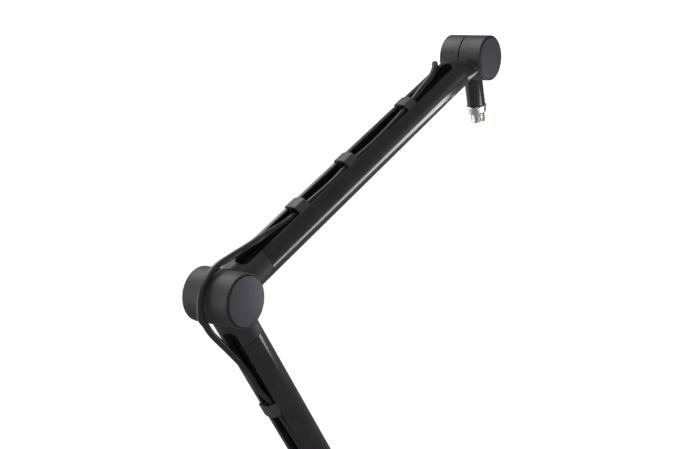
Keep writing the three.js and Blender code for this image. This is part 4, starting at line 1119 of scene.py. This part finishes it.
def pale(name, tone, glow):
    material = bpy.data.materials.new(name)
    material.use_nodes = True
    shader = material.node_tree.nodes["Principled BSDF"]
    shader.inputs["Base Color"].default_value = (tone, tone, tone, 1)
    shader.inputs["Roughness"].default_value = 0.75
    shader.inputs["Emission Color"].default_value = (1, 1, 1, 1)
    shader.inputs["Emission Strength"].default_value = glow
    return material


def make_stage():
    """A pale desk slab that the clamp grips, on a wide pale floor that curves up behind."""
    desk = slab(-DESK_LENGTH, DESK_EDGE, -DESK_HALF_WIDTH, DESK_HALF_WIDTH, DESK_BOTTOM + 0.3, -0.1, 1.5, 6)
    desk.transform(Matrix.Scale(MM, 4))
    desk.materials.append(pale("desk_pale", 0.74, 0.08))
    desk.shade_smooth()
    desk.set_sharp_from_angle(angle=SHARP_ANGLE)
    top = bpy.data.objects.new("desk", desk)
    flat = FLOOR_R - FLOOR_RIM
    profile = [(0, FLOOR_DEPTH), (flat, FLOOR_DEPTH)]
    profile += [(flat + FLOOR_RIM * math.sin(turn), FLOOR_DEPTH + FLOOR_RIM * (1 - math.cos(turn)))
                for turn in np.linspace(0, math.pi / 2, 16)[1:]]
    points = []
    for radius, height in profile:
        points += [(radius * MM * math.cos(a), radius * MM * math.sin(a), height * MM)
                   for a in np.arange(FLOOR_SIDES) * 2 * math.pi / FLOOR_SIDES]
    ground = bpy.data.meshes.new("floor")
    ground.from_pydata(points, [], strip_faces(len(profile), FLOOR_SIDES))
    ground.materials.append(pale("floor_pale", 0.95, 0.82))
    ground.shade_smooth()
    floor = bpy.data.objects.new("floor", ground)
    for thing in (top, floor):
        bpy.context.collection.objects.link(thing)
        thing.visible_glossy = False


def area_light(name, target, azimuth, elevation, distance, size, power, along=None):
    """A soft box seen from the target in a direction; its width lies level, or along a given direction."""
    light = bpy.data.lights.new(name, "AREA")
    light.shape = "RECTANGLE"
    light.size, light.size_y = size
    light.energy = power
    holder = bpy.data.objects.new(name, light)
    bpy.context.collection.objects.link(holder)
    turn, rise = math.radians(azimuth), math.radians(elevation)
    away = Vector((math.cos(turn) * math.cos(rise), math.sin(turn) * math.cos(rise), math.sin(rise)))
    wide = Vector(along) if along else Vector((-math.sin(turn), math.cos(turn), 0))
    wide = (wide - away * wide.dot(away)).normalized()
    axes = Matrix((wide, away.cross(wide), away)).transposed().to_4x4()
    holder.matrix_world = Matrix.Translation(target + away * distance) @ axes
    holder.visible_camera = False


def make_light():
    scene = bpy.context.scene
    scene.view_settings.view_transform = "Standard"
    scene.view_settings.look = "None"
    world = bpy.data.worlds.new("studio")
    world.use_nodes = True
    world.node_tree.nodes["Background"].inputs["Color"].default_value = (1, 1, 1, 1)
    world.node_tree.nodes["Background"].inputs["Strength"].default_value = 0.2
    scene.world = world
    middle = (ELBOW_AT + HEAD_AT) / 2 * MM
    reach = HEAD_AT - ELBOW_AT
    area_light("strip_right", (ELBOW_AT + reach * 0.38) * MM, -30, -14, 0.25, (0.3, 0.05), 0.33, reach)
    area_light("box_cap", HEAD_AT * MM, -36, 6, 3.0, (1.0, 0.7), 1.1)
    area_light("box_back", middle, 68, -3, 2.0, (1.2, 2.2), 10)
    area_light("box_top", middle, 100, 60, 1.8, (1.6, 1.0), 26)
    area_light("box_front", middle, 200, 55, 2.0, (1.6, 1.0), 12)
    area_light("box_left", HEAD_AT * MM, 129, -5, 2.0, (1.8, 1.4), 13)


make_camera()
make_cable()
make_arms()
make_caps()
make_stem()
make_clamp()
make_clamp_screw()
make_post_lock()
make_swivel()
finish_packed_nodes()
make_stage()
make_light()
